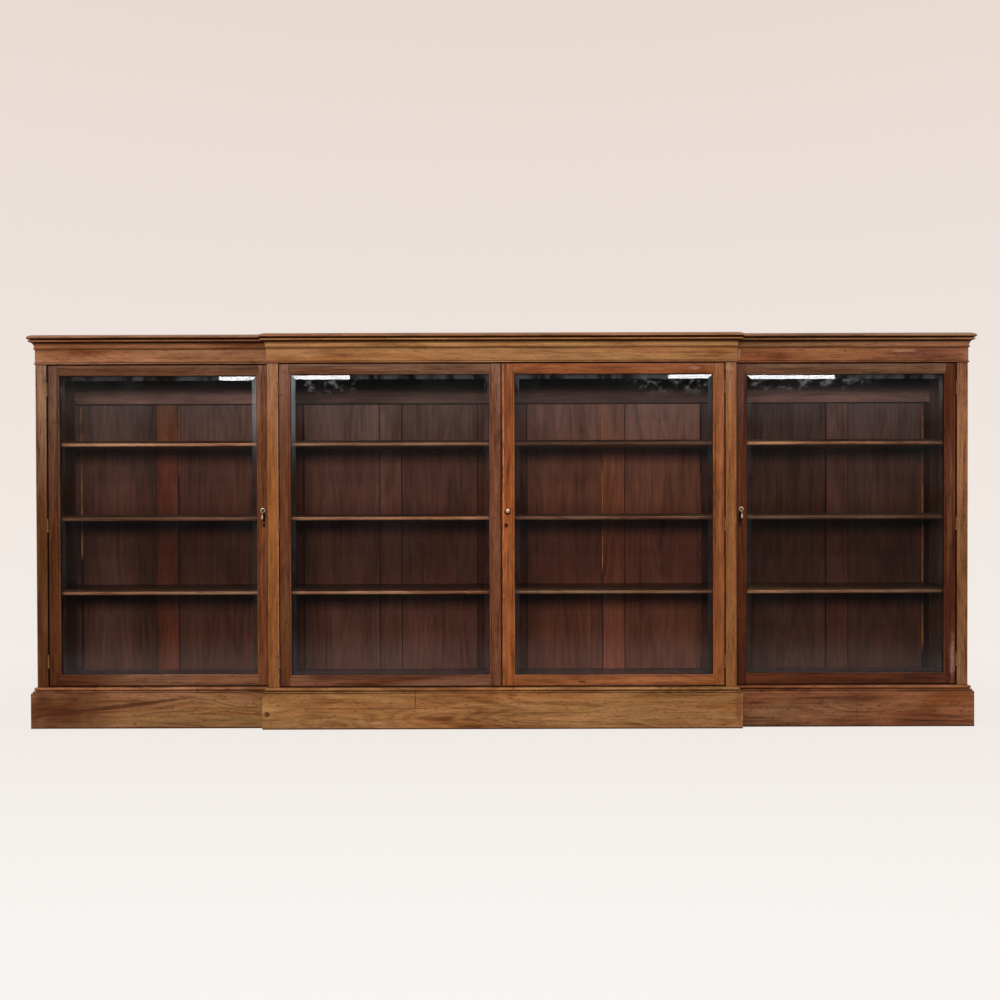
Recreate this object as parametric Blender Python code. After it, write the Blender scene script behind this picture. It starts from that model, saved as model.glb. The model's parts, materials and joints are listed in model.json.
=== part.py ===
"""Breakfront bookcase: four glazed doors, the centre pair stepping forward, on a moulded plinth.

Metres, +Z up, front towards -Y. The origin is under the middle of the bookcase, on the floor.
"""

import math

import bmesh
import bpy

# Driving sizes of the case
CASE_WIDTH = 3.448
CASE_DEPTH = 0.345
CENTRE_WIDTH = 1.727
BREAK = 0.031
PLINTH_HEIGHT = 0.152
DOOR_ZONE_HEIGHT = 1.1925
FRIEZE_HEIGHT = 0.0925
TOP_THICKNESS = 0.0185
FIT = 0.0003
OVERRUN = 0.004

# Boards
SIDE_THICKNESS = 0.024
PARTITION_THICKNESS = 0.0415
MIDDLE_THICKNESS = 0.022
STILE_WIDTH = 0.042
STILE_THICKNESS = 0.020
BOTTOM_THICKNESS = 0.0177
CEILING_THICKNESS = 0.012
HOUSING_DEPTH = 0.006
DOOR_STOP_GAP = 0.0015

# Shelves
SHELF_COUNT = 3
SHELF_THICKNESS = 0.022
FIRST_SHELF_RISE = 0.358
SHELF_PITCH = 0.2773
SHELF_SETBACK = 0.040
SHELF_BEAD_RADIUS = 0.008
SHELF_QUIRK = 0.0015
SHELF_FILLET_SETBACK = 0.003
TONGUE_SHOULDER = 0.001
TONGUE_SETBACK = 0.012

# Plinth
PLINTH_PROJECTION = 0.018
PLINTH_BOARD_THICKNESS = 0.022
PLINTH_CAPPING = 0.012
PLINTH_LEDGE = 0.024
PLINTH_BEAD_DROP = 0.0015
PLINTH_BEAD_RADIUS = 0.006
PLINTH_BEAD_PROJECTION = 0.009
PLINTH_NOSE_RADIUS = 0.0024
PLINTH_NOSE_PROJECTION = 0.013
PLINTH_ARRIS = 0.0035
PLINTH_QUIRK = 0.0012
BEARER_DROP = 0.0003

# Frieze and cornice
FRIEZE_THICKNESS = 0.020
FRIEZE_PROUD = 0.001
FRIEZE_BEAD_RADIUS = 0.003
CORNICE_HEIGHT = 0.0365
CORNICE_FILLET_HEIGHT = 0.0055
CORNICE_FILLET_PROJECTION = 0.005
COVE_START = 0.003
COVE_END = 0.014
COVE_HEIGHT = 0.0195
CORNICE_STEP = 0.001
CORNICE_BEAD_RADIUS = 0.0038
CORNICE_BEAD_PROJECTION = 0.020
CORNICE_QUIRK = 0.003
TOP_PROJECTION = 0.024
TOP_EDGE_HEIGHT = 0.005
TOP_EDGE_EASE = 0.0025
THUMB_REACH = 0.036

# Backs
BACK_THICKNESS = 0.0165
BACK_RECESS = 0.006
BACK_REAR_RECESS = 0.0025
BACK_RAIL = 0.119
BACK_MUNTIN = 0.088
WING_BACK_OUTER_STILE = 0.0255
WING_BACK_INNER_STILE = 0.1275
CENTRE_BACK_OUTER_STILE = 0.032
CENTRE_BACK_MIDDLE_STILE = 0.196

# Doors
DOOR_THICKNESS = 0.022
DOOR_STILE = 0.044
DOOR_RAIL = 0.041
DOOR_FOOT_GAP = 0.0045
DOOR_HEAD_GAP = 0.002
DOOR_HINGE_GAP = 0.0028
DOOR_CLOSING_GAP = 0.0015
DOOR_MEETING_GAP = 0.0034
MEETING_BEAD = 0.005
OVOLO = 0.0075
OVOLO_QUIRK = 0.001
GLASS_LIP_DEPTH = 0.010
GLASS_REBATE = 0.008
GLAZING_BEAD_INSET = 0.0015

# Glass
GLASS_THICKNESS = 0.006
BEVEL_SIGHT = 0.016
BEVEL_FALL = 0.0022

# Hinges
HINGE_COUNT = 3
HINGE_HEIGHT = 0.050
HINGE_END_DISTANCE = 0.090
HINGE_BARREL_RADIUS = 0.0031
HINGE_BARREL_PROUD = 0.0036
HINGE_LEAF = 0.0011
HINGE_LEAF_DEPTH = 0.018
KNUCKLE_COUNT = 5
KNUCKLE_GROOVE = 0.0004
BARREL_SIDES = 10

# Door furniture
HANDLE_RISE = 0.648
HANDLE_FROM_EDGE = 0.0205
ROSETTE_RADIUS = 0.009
ROSETTE_THICKNESS = 0.0035
ROSETTE_RIM_SHARES = ((1, 1 / 3), (8 / 9, 2 / 3), (7 / 9, 2 / 3), (2 / 3, 1 / 2))
POST_RADIUS = 0.0038
POST_NECK_SHARE = 0.75
PIVOT_PROUD = 0.0120
DROP_PIN_RADIUS = 0.0009
DROP_PIN_CLEARANCE = 0.00035
DROP_EYE_RADIUS = 0.0026
DROP_EYE_THICKNESS = 0.0018
DROP_EYE_CLEARANCE = 0.0004
DROP_LENGTH = 0.0345
DROP_STEM_RADIUS = 0.0011
DROP_BULB_RADIUS = 0.0045
DROP_BULB_SHARES = ((0, 0), (0.2, 0), (0.25, 0.25), (0.75, 0.5), (1, 1.25), (0.9, 2))
SPIGOT_RADIUS = 0.002
SPIGOT_LENGTH = 0.010
KNOB_RISE = 0.644
KNOB_RADIUS = 0.008
KNOB_PROUD = 0.0215
KNOB_FROM_EDGE = 0.022
TURNED_SIDES = 20

# Locks
LOCK_RISE = 0.592
LOCK_TALL = 0.044
LOCK_WIDE = 0.026
LOCK_DEEP = 0.009
LOCK_BOSS_RADIUS = 0.006
LOCK_BOSS_HEIGHT = 0.0006
LOCK_BOLT_HEIGHT = 0.012
LOCK_BOLT_STUB = 0.0006
KEYHOLE_FROM_EDGE = 0.016
KEYHOLE_RADIUS = 0.0022
KEYHOLE_SLOT = 0.0024
KEYHOLE_DROP = 0.0070

# Places that follow from the sizes above
FRONT_Y = BREAK + TOP_PROJECTION - (CASE_DEPTH + BREAK + TOP_PROJECTION) / 2
BACK_Y = FRONT_Y + CASE_DEPTH
CENTRE_Y = FRONT_Y - BREAK
BACK_FACE_Y = BACK_Y - BACK_THICKNESS
HALF_CASE = CASE_WIDTH / 2
HALF_CENTRE = CENTRE_WIDTH / 2
SIDE_FACE = HALF_CASE - SIDE_THICKNESS
STILE_EDGE = HALF_CASE - STILE_WIDTH
PARTITION_FACE = HALF_CENTRE - PARTITION_THICKNESS
BREAK_STILE_EDGE = HALF_CENTRE - STILE_WIDTH
DOOR_ZONE_TOP = PLINTH_HEIGHT + DOOR_ZONE_HEIGHT
FRIEZE_TOP = DOOR_ZONE_TOP + FRIEZE_HEIGHT
TOP_HEIGHT = FRIEZE_TOP + TOP_THICKNESS
FLOOR_Z = PLINTH_HEIGHT + FIT
BOTTOM_TOP = FLOOR_Z + BOTTOM_THICKNESS
UPRIGHT_TOP = DOOR_ZONE_TOP - FIT
CEILING_BOTTOM = UPRIGHT_TOP - CEILING_THICKNESS
STOP_DEPTH = DOOR_THICKNESS + DOOR_STOP_GAP
SHELF_Y = FRONT_Y + SHELF_SETBACK
DOOR_BOTTOM = PLINTH_HEIGHT + DOOR_FOOT_GAP
DOOR_TOP = DOOR_ZONE_TOP - DOOR_HEAD_GAP
HANDLE_HEIGHT = DOOR_BOTTOM + HANDLE_RISE
KNOB_HEIGHT = DOOR_BOTTOM + KNOB_RISE
LOCK_HEIGHT = DOOR_BOTTOM + LOCK_RISE

# Places across: each bay's name with the sides of its space
BAYS = {
    "left_wing": (-SIDE_FACE, -HALF_CENTRE),
    "centre_left": (-PARTITION_FACE, -MIDDLE_THICKNESS / 2),
    "centre_right": (MIDDLE_THICKNESS / 2, PARTITION_FACE),
    "right_wing": (HALF_CENTRE, SIDE_FACE),
}
FIRST_SHELF_BOTTOM = PLINTH_HEIGHT + FIRST_SHELF_RISE - SHELF_THICKNESS
SHELF_BOTTOMS = [FIRST_SHELF_BOTTOM + SHELF_PITCH * n for n in range(SHELF_COUNT)]

# Colours as red, green, blue with roughness and metallic
FINISHES = {
    "mahogany": ((0.19, 0.075, 0.032), 0.38, 0.0),
    "mahogany_inside": ((0.14, 0.075, 0.045), 0.55, 0.0),
    "glass": ((0.80, 0.86, 0.84), 0.05, 0.0),
    "brass": ((0.60, 0.42, 0.18), 0.35, 1.0),
}


def clear_scene():
    for thing in list(bpy.data.objects):
        bpy.data.objects.remove(thing, do_unlink=True)


def material(name):
    if name in bpy.data.materials:
        return bpy.data.materials[name]
    colour, roughness, metallic = FINISHES[name]
    made = bpy.data.materials.new(name)
    made.use_nodes = True
    shader = made.node_tree.nodes["Principled BSDF"]
    shader.inputs["Base Color"].default_value = (*colour, 1)
    shader.inputs["Roughness"].default_value = roughness
    shader.inputs["Metallic"].default_value = metallic
    return made


def from_bmesh(name, bm, finish):
    """A named object from a closed bmesh, with its faces turned outwards."""
    bmesh.ops.recalc_face_normals(bm, faces=bm.faces)
    mesh = bpy.data.meshes.new(name)
    bm.to_mesh(mesh)
    bm.free()
    mesh.materials.append(material(finish))
    made = bpy.data.objects.new(name, mesh)
    bpy.context.scene.collection.objects.link(made)
    return made


def pivot(name, place, carrier=None):
    """An empty on a joint's axis, which carries what turns there."""
    made = bpy.data.objects.new(name, None)
    made.empty_display_size = HINGE_HEIGHT
    made.location = place
    bpy.context.scene.collection.objects.link(made)
    if carrier:
        hang(made, carrier)
    return made


def hang(piece, carrier):
    """Parents a piece to the empty that carries it, and leaves it where it stands."""
    place = carrier.location.copy()
    above = carrier.parent
    while above:
        place += above.location
        above = above.parent
    piece.parent = carrier
    piece.location -= place


def box(name, low, high, finish="mahogany"):
    bm = bmesh.new()
    bmesh.ops.create_cube(bm, size=1)
    for vert in bm.verts:
        for axis in range(3):
            vert.co[axis] = high[axis] if vert.co[axis] > 0 else low[axis]
    return from_bmesh(name, bm, finish)


def boxes(name, corners):
    """Several separate boxes in one object, for a cutter."""
    bm = bmesh.new()
    for low, high in corners:
        for vert in bmesh.ops.create_cube(bm, size=1)["verts"]:
            for axis in range(3):
                vert.co[axis] = high[axis] if vert.co[axis] > 0 else low[axis]
    return from_bmesh(name, bm, "mahogany")


def prism(name, outline, place, run, finish="mahogany"):
    """A flat outline, placed in space by a function, extruded along a vector."""
    bm = bmesh.new()
    face = bm.faces.new([bm.verts.new(place(*point)) for point in outline])
    grown = bmesh.ops.extrude_face_region(bm, geom=[face])["geom"]
    moved = [item for item in grown if isinstance(item, bmesh.types.BMVert)]
    bmesh.ops.translate(bm, verts=moved, vec=run)
    return from_bmesh(name, bm, finish)


def rings(name, loops, finish, capped):
    """Loops of as many points each, bridged in turn; closed by end caps, or back on the first."""
    bm = bmesh.new()
    made = [[bm.verts.new(point) for point in loop] for loop in loops]
    count = len(made[0])
    pairs = list(zip(made, made[1:]))
    if capped:
        bm.faces.new(made[0])
        bm.faces.new(made[-1])
    else:
        pairs.append((made[-1], made[0]))
    for low, high in pairs:
        for n in range(count):
            after = (n + 1) % count
            bm.faces.new((low[n], low[after], high[after], high[n]))
    return from_bmesh(name, bm, finish)


def arc(across, up, radius, start, end, steps, rise=None):
    """Points of an arc, in degrees from the outward direction; rise makes it an ellipse."""
    tall = radius if rise is None else rise
    turns = [math.radians(start + (end - start) * n / steps) for n in range(steps + 1)]
    return [(across + radius * math.cos(t), up + tall * math.sin(t)) for t in turns]


def turned(name, outline, axis_place, direction, sides, finish="brass"):
    """A turned piece: outline of (radius, height) spun about an axis through a place."""
    bm = bmesh.new()
    verts = [bm.verts.new((radius, 0, height)) for radius, height in outline]
    edges = [bm.edges.new(pair) for pair in zip(verts, verts[1:])]
    bmesh.ops.spin(
        bm, geom=verts + edges, cent=(0, 0, 0), axis=(0, 0, 1), angle=math.tau, steps=sides, use_merge=True
    )
    bmesh.ops.remove_doubles(bm, verts=bm.verts, dist=FIT / 100)
    place_along = {
        "up": lambda p: (p[0], p[1], p[2]),
        "forward": lambda p: (p[0], -p[2], p[1]),
        "across": lambda p: (p[2], p[0], p[1]),
    }[direction]
    for vert in bm.verts:
        vert.co = [a + b for a, b in zip(place_along(tuple(vert.co)), axis_place)]
    made = from_bmesh(name, bm, finish)
    made.data.shade_smooth()
    made.data.set_sharp_from_angle(angle=math.radians(35))
    return made


def boolean(made, other, operation):
    """Joins or cuts with another object, which is then only a guide."""
    modifier = made.modifiers.new(other.name, "BOOLEAN")
    modifier.operation = operation
    modifier.object = other
    other.hide_render = True
    other.display_type = "WIRE"


def plan_path(offset):
    """The breakfront outline in plan, moved outwards by an offset, from back left to back right."""
    wing, centre = HALF_CASE + offset, HALF_CENTRE + offset
    return [
        (-wing, BACK_Y),
        (-wing, FRONT_Y - offset),
        (-centre, FRONT_Y - offset),
        (-centre, CENTRE_Y - offset),
        (centre, CENTRE_Y - offset),
        (centre, FRONT_Y - offset),
        (wing, FRONT_Y - offset),
        (wing, BACK_Y),
    ]


def mitred(name, profile):
    """A moulding's section of (projection, height), carried round the breakfront outline."""
    corners = len(plan_path(0))
    loops = []
    for n in range(corners):
        loops.append([(*plan_path(projection)[n], height) for projection, height in profile])
    return rings(name, loops, "mahogany", capped=True)


def housing_boxes(face, inwards, front, floor=True, ceiling=True):
    """Cuts in an upright's face for the ends of its bay's shelves, bottom board and ceiling."""
    deep = face - inwards * HOUSING_DEPTH
    low_x, high_x = sorted((deep, face + inwards * OVERRUN))
    rear = BACK_Y + OVERRUN
    found = []
    for bottom in SHELF_BOTTOMS:
        low = bottom + TONGUE_SHOULDER - FIT
        high = bottom + SHELF_THICKNESS - TONGUE_SHOULDER + FIT
        found.append(((low_x, SHELF_Y + TONGUE_SETBACK - FIT, low), (high_x, rear, high)))
    if floor:
        low = FLOOR_Z - OVERRUN
        found.append(((low_x, front - FIT, low), (high_x, rear, BOTTOM_TOP + FIT)))
    if ceiling:
        high = UPRIGHT_TOP + OVERRUN
        found.append(((low_x, front - FIT, CEILING_BOTTOM - FIT), (high_x, rear, high)))
    return found


def plinth():
    bead_reach = PLINTH_BEAD_PROJECTION - PLINTH_BEAD_RADIUS
    bead_z = PLINTH_HEIGHT - PLINTH_BEAD_DROP - PLINTH_BEAD_RADIUS
    nose_reach = PLINTH_NOSE_PROJECTION - PLINTH_NOSE_RADIUS
    nose_z = bead_z - PLINTH_BEAD_RADIUS - PLINTH_QUIRK - PLINTH_NOSE_RADIUS
    arris_z = nose_z - PLINTH_NOSE_RADIUS - PLINTH_QUIRK - PLINTH_ARRIS
    inside = PLINTH_PROJECTION - PLINTH_BOARD_THICKNESS
    profile = [(PLINTH_PROJECTION, 0)]
    profile += arc(PLINTH_PROJECTION - PLINTH_ARRIS, arris_z, PLINTH_ARRIS, 0, 90, 4)
    profile.append((nose_reach, arris_z + PLINTH_ARRIS))
    profile += arc(nose_reach, nose_z, PLINTH_NOSE_RADIUS, -60, 90, 5)
    profile.append((bead_reach, nose_z + PLINTH_NOSE_RADIUS))
    profile += arc(bead_reach, bead_z, PLINTH_BEAD_RADIUS, -65, 90, 8)
    profile += [
        (0, PLINTH_HEIGHT - PLINTH_BEAD_DROP),
        (-FIT, PLINTH_HEIGHT),
        (-PLINTH_LEDGE, PLINTH_HEIGHT),
        (-PLINTH_LEDGE, PLINTH_HEIGHT - PLINTH_CAPPING),
        (inside, PLINTH_HEIGHT - PLINTH_CAPPING),
        (inside, 0),
    ]
    made = mitred("plinth", profile)
    rail_end = HALF_CASE + inside + OVERRUN
    rail_front = BACK_Y - PLINTH_BOARD_THICKNESS
    bearer_top = PLINTH_HEIGHT - BEARER_DROP
    rail = box(
        "plinth_back_rail_blank", (-rail_end, rail_front, 0), (rail_end, BACK_Y - BEARER_DROP, bearer_top)
    )
    boolean(made, rail, "UNION")
    bearers = {
        "left": (-HALF_CENTRE + FIT, -PARTITION_FACE),
        "middle": (-MIDDLE_THICKNESS / 2, MIDDLE_THICKNESS / 2),
        "right": (PARTITION_FACE, HALF_CENTRE - FIT),
    }
    start = CENTRE_Y - inside - OVERRUN
    end = rail_front + OVERRUN
    for name, (low, high) in bearers.items():
        bearer = box(f"plinth_bearer_{name}_blank", (low, start, 0), (high, end, bearer_top - BEARER_DROP))
        boolean(made, bearer, "UNION")


def sides():
    """The two ends, each with its face stile, housed for the boards that it carries."""
    for name, hand in (("left", -1), ("right", 1)):
        outline = [
            (HALF_CASE, FRONT_Y),
            (STILE_EDGE, FRONT_Y),
            (STILE_EDGE, FRONT_Y + STILE_THICKNESS),
            (SIDE_FACE, FRONT_Y + STILE_THICKNESS),
            (SIDE_FACE, BACK_Y),
            (HALF_CASE, BACK_Y),
        ]
        made = prism(
            f"side_{name}", outline, lambda x, y: (hand * x, y, FLOOR_Z), (0, 0, UPRIGHT_TOP - FLOOR_Z)
        )
        cuts = housing_boxes(hand * SIDE_FACE, -hand, FRONT_Y + STOP_DEPTH)
        boolean(made, boxes(f"side_{name}_housings", cuts), "DIFFERENCE")


def partitions():
    front = CENTRE_Y + STILE_THICKNESS + FIT
    for name, hand in (("left", -1), ("right", 1)):
        low_x, high_x = sorted((hand * PARTITION_FACE, hand * HALF_CENTRE))
        made = box(f"partition_{name}", (low_x, front, FLOOR_Z), (high_x, BACK_Y, UPRIGHT_TOP))
        cuts = housing_boxes(hand * PARTITION_FACE, -hand, CENTRE_Y + STOP_DEPTH)
        cuts += housing_boxes(hand * HALF_CENTRE, hand, FRONT_Y + STOP_DEPTH)
        boolean(made, boxes(f"partition_{name}_housings", cuts), "DIFFERENCE")
    half = MIDDLE_THICKNESS / 2
    made = box(
        "partition_middle",
        (-half, CENTRE_Y + STOP_DEPTH, BOTTOM_TOP + FIT),
        (half, BACK_FACE_Y - FIT, CEILING_BOTTOM - FIT),
    )
    cuts = []
    for hand in (-1, 1):
        cuts += housing_boxes(hand * half, hand, CENTRE_Y + STOP_DEPTH, floor=False, ceiling=False)
    boolean(made, boxes("partition_middle_housings", cuts), "DIFFERENCE")


def break_stiles():
    for name, hand in (("left", -1), ("right", 1)):
        low_x, high_x = sorted((hand * BREAK_STILE_EDGE, hand * HALF_CENTRE))
        rear = CENTRE_Y + STILE_THICKNESS
        box(f"stile_{name}", (low_x, CENTRE_Y, FLOOR_Z), (high_x, rear, UPRIGHT_TOP))


def carcass_boards():
    """Bottom and ceiling boards, whose ends lie in the housings and whose front edges stop the doors."""
    reach = HOUSING_DEPTH - FIT
    spans = {
        "left": (-SIDE_FACE - reach, -HALF_CENTRE + reach, FRONT_Y),
        "centre": (-PARTITION_FACE - reach, PARTITION_FACE + reach, CENTRE_Y),
        "right": (HALF_CENTRE - reach, SIDE_FACE + reach, FRONT_Y),
    }
    rear = BACK_FACE_Y - FIT
    for name, (low_x, high_x, face_y) in spans.items():
        front = face_y + STOP_DEPTH
        box(f"bottom_{name}", (low_x, front, FLOOR_Z), (high_x, rear, BOTTOM_TOP), "mahogany_inside")
        box(f"ceiling_{name}", (low_x, front, CEILING_BOTTOM), (high_x, rear, UPRIGHT_TOP), "mahogany_inside")


def shelves():
    radius = SHELF_BEAD_RADIUS
    depth = BACK_FACE_Y - FIT - SHELF_Y
    section = [(depth, 0)]
    section += [(2 * radius - across, up) for across, up in arc(radius, radius, radius, -90, 60, 8)]
    section += [
        (radius - SHELF_QUIRK, 2 * radius - SHELF_QUIRK / 2),
        (radius - SHELF_QUIRK, 2 * radius + SHELF_QUIRK / 2),
        (SHELF_FILLET_SETBACK, 2 * radius + SHELF_QUIRK),
        (SHELF_FILLET_SETBACK, SHELF_THICKNESS),
        (depth, SHELF_THICKNESS),
    ]
    for bay, (low_x, high_x) in BAYS.items():
        for number, bottom in enumerate(SHELF_BOTTOMS, 1):
            name = f"shelf_{bay}_{number}"
            made = prism(
                name,
                section,
                lambda y, z: (low_x + FIT, SHELF_Y + y, bottom + z),
                (high_x - low_x - 2 * FIT, 0, 0),
                "mahogany_inside",
            )
            reach = HOUSING_DEPTH - FIT
            tongue = box(
                f"{name}_tongue",
                (low_x - reach, SHELF_Y + TONGUE_SETBACK, bottom + TONGUE_SHOULDER),
                (high_x + reach, SHELF_Y + depth - FIT, bottom + SHELF_THICKNESS - TONGUE_SHOULDER),
                "mahogany_inside",
            )
            boolean(made, tongue, "UNION")


def back_panels(low_x, high_x, first_stile, last_stile, middle_stile):
    """The panels' spans across, between the stiles; a middle stile parts them into two pairs."""
    spans = []
    if middle_stile:
        halves = [
            (low_x + first_stile, -middle_stile / 2),
            (middle_stile / 2, high_x - last_stile),
        ]
    else:
        halves = [(low_x + first_stile, high_x - last_stile)]
    for start, end in halves:
        width = (end - start - BACK_MUNTIN) / 2
        spans += [(start, start + width), (end - width, end)]
    return spans


def backs():
    """Each back is a frame with its panels, sunk on the inside and, less, on the outside."""
    wing = (SIDE_FACE - FIT, HALF_CENTRE + FIT)
    inner = PARTITION_FACE - FIT
    stiles = (WING_BACK_OUTER_STILE, WING_BACK_INNER_STILE)
    edge = CENTRE_BACK_OUTER_STILE
    layouts = {
        "left": ((-wing[0], -wing[1]), back_panels(-wing[0], -wing[1], *stiles, 0)),
        "centre": ((-inner, inner), back_panels(-inner, inner, edge, edge, CENTRE_BACK_MIDDLE_STILE)),
        "right": ((wing[1], wing[0]), back_panels(wing[1], wing[0], *stiles[::-1], 0)),
    }
    for name, ((low_x, high_x), spans) in layouts.items():
        made = box(
            f"back_{name}", (low_x, BACK_FACE_Y, FLOOR_Z), (high_x, BACK_Y, UPRIGHT_TOP), "mahogany_inside"
        )
        cuts = []
        for start, end in spans:
            low, high = BOTTOM_TOP, DOOR_ZONE_TOP - BACK_RAIL
            inside = BACK_FACE_Y + BACK_RECESS
            outside = BACK_Y - BACK_REAR_RECESS
            cuts.append(((start, BACK_FACE_Y - OVERRUN, low), (end, inside, high)))
            cuts.append(((start, outside, low), (end, BACK_Y + OVERRUN, high)))
        boolean(made, boxes(f"back_{name}_recesses", cuts), "DIFFERENCE")


def frieze():
    radius = FRIEZE_BEAD_RADIUS
    inside = FRIEZE_PROUD - FRIEZE_THICKNESS
    profile = arc(FRIEZE_PROUD, DOOR_ZONE_TOP + radius, radius, -90, 90, 9)
    profile += [
        (FRIEZE_PROUD, FRIEZE_TOP - FIT),
        (inside, FRIEZE_TOP - FIT),
        (inside, DOOR_ZONE_TOP),
    ]
    made = mitred("frieze", profile)
    rail_end = HALF_CASE + inside + OVERRUN
    rail = box(
        "frieze_back_rail_blank",
        (-rail_end, BACK_Y - FRIEZE_THICKNESS, DOOR_ZONE_TOP + FIT),
        (rail_end, BACK_Y - FIT, FRIEZE_TOP - 2 * FIT),
    )
    boolean(made, rail, "UNION")


def cornice():
    inside = FRIEZE_PROUD + FIT
    cove_reach = COVE_END - COVE_START
    bottom = FRIEZE_TOP - CORNICE_HEIGHT
    cove_z = bottom + CORNICE_FILLET_HEIGHT
    cove_top = cove_z + COVE_HEIGHT
    bead_reach = CORNICE_BEAD_PROJECTION - CORNICE_BEAD_RADIUS
    bead_z = FRIEZE_TOP - CORNICE_QUIRK - CORNICE_BEAD_RADIUS
    profile = [
        (inside, bottom),
        (CORNICE_FILLET_PROJECTION, bottom),
        (CORNICE_FILLET_PROJECTION, cove_z),
    ]
    profile += arc(COVE_END, cove_z, cove_reach, 180, 90, 7, COVE_HEIGHT)
    profile.append((COVE_END + CORNICE_STEP, cove_top))
    profile += arc(bead_reach, bead_z, CORNICE_BEAD_RADIUS, -110, 90, 7)
    profile += [
        (bead_reach - CORNICE_QUIRK, FRIEZE_TOP - CORNICE_QUIRK),
        (bead_reach - CORNICE_QUIRK, FRIEZE_TOP - FIT),
        (inside, FRIEZE_TOP - FIT),
    ]
    mitred("cornice_moulding", profile)


def top_board():
    edge_z = FRIEZE_TOP + TOP_EDGE_HEIGHT
    edge = [
        (TOP_PROJECTION - TOP_EDGE_EASE, FRIEZE_TOP),
        (TOP_PROJECTION, FRIEZE_TOP + TOP_EDGE_EASE),
    ]
    edge += arc(TOP_PROJECTION - THUMB_REACH, edge_z, THUMB_REACH, 0, 90, 7, TOP_HEIGHT - edge_z)
    loops = [[(x, y, z) for x, y in plan_path(projection)] for projection, z in edge]
    rings("top_board", loops, "mahogany", capped=True)


def door_layout():
    """Each door: its edges across, face, hinge side, and the sight edges of its glass."""
    meeting = (DOOR_MEETING_GAP + MEETING_BEAD) / 2
    centre_edge = BREAK_STILE_EDGE - DOOR_HINGE_GAP
    wing_edges = (STILE_EDGE - DOOR_HINGE_GAP, HALF_CENTRE + DOOR_CLOSING_GAP)
    return {
        "left_wing": (-wing_edges[0], -wing_edges[1], FRONT_Y, -1),
        "centre_left": (-centre_edge, -meeting, CENTRE_Y, -1),
        "centre_right": (meeting, centre_edge, CENTRE_Y, 1),
        "right_wing": (wing_edges[1], wing_edges[0], FRONT_Y, 1),
    }


def rectangle(low_x, high_x, low_z, high_z, y):
    return [(low_x, y, low_z), (high_x, y, low_z), (high_x, y, high_z), (low_x, y, high_z)]


def sticking():
    """The frame's section: how far each point lies outside the sight edge, and behind the face."""
    ovolo_back = OVOLO_QUIRK + OVOLO
    section = [(OVOLO + OVOLO_QUIRK, 0), (OVOLO + OVOLO_QUIRK, OVOLO_QUIRK)]
    section += arc(OVOLO, ovolo_back, OVOLO, -90, -180, 5)
    glass_back = GLASS_LIP_DEPTH + GLASS_THICKNESS - BEVEL_FALL + 2 * FIT
    bead_turn = DOOR_THICKNESS - GLASS_REBATE + GLAZING_BEAD_INSET
    section += [
        (0, GLASS_LIP_DEPTH),
        (GLASS_REBATE, GLASS_LIP_DEPTH),
        (GLASS_REBATE, glass_back),
        (GLAZING_BEAD_INSET, glass_back),
        (GLAZING_BEAD_INSET, bead_turn),
        (GLASS_REBATE, DOOR_THICKNESS),
    ]
    return section


def door_frame(bay, low_x, high_x, face):
    sight = (low_x + DOOR_STILE, high_x - DOOR_STILE, DOOR_BOTTOM + DOOR_RAIL, DOOR_TOP - DOOR_RAIL)
    loops = [rectangle(low_x, high_x, DOOR_BOTTOM, DOOR_TOP, face)]
    for out, back in sticking():
        edges = (sight[0] - out, sight[1] + out, sight[2] - out, sight[3] + out)
        loops.append(rectangle(*edges, face + back))
    loops.append(rectangle(low_x, high_x, DOOR_BOTTOM, DOOR_TOP, face + DOOR_THICKNESS))
    return rings(f"door_{bay}", loops, "mahogany", capped=False)


def meeting_bead(door, edge, face):
    """The half-round bead that stands along the closing edge and laps the meeting of the doors."""
    radius = MEETING_BEAD / 2
    outline = arc(edge - radius, face + radius, radius, -20, -180, 8)
    outline += [
        (edge - MEETING_BEAD, face + DOOR_THICKNESS - FIT),
        (edge + OVERRUN, face + DOOR_THICKNESS - FIT),
        (edge + OVERRUN, face + radius),
    ]
    bead = prism(
        "meeting_bead_blank",
        outline,
        lambda x, y: (x, y, DOOR_BOTTOM + FIT),
        (0, 0, DOOR_TOP - DOOR_BOTTOM - 2 * FIT),
    )
    boolean(door, bead, "UNION")


def glass_pane(bay, low_x, high_x, face):
    sight = (low_x + DOOR_STILE, high_x - DOOR_STILE, DOOR_BOTTOM + DOOR_RAIL, DOOR_TOP - DOOR_RAIL)
    reach = GLASS_REBATE - FIT
    front = face + GLASS_LIP_DEPTH + FIT
    rear = front + GLASS_THICKNESS - BEVEL_FALL
    edge_front = front + BEVEL_FALL * reach / BEVEL_SIGHT

    def grown(out, y):
        return rectangle(sight[0] - out, sight[1] + out, sight[2] - out, sight[3] + out, y)

    loops = [grown(reach, rear), grown(reach, edge_front), grown(-BEVEL_SIGHT, front - BEVEL_FALL)]
    return rings(f"glass_{bay}", loops, "glass", capped=True)


def hinge_heights():
    low = DOOR_BOTTOM + HINGE_END_DISTANCE
    high = DOOR_TOP - HINGE_END_DISTANCE
    return [low + (high - low) * n / (HINGE_COUNT - 1) for n in range(HINGE_COUNT)]


def hinge_axis(bay):
    low_x, high_x, face, hand = door_layout()[bay]
    edge = low_x if hand < 0 else high_x
    return edge + hand * DOOR_HINGE_GAP / 2, face - HINGE_BARREL_PROUD


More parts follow.
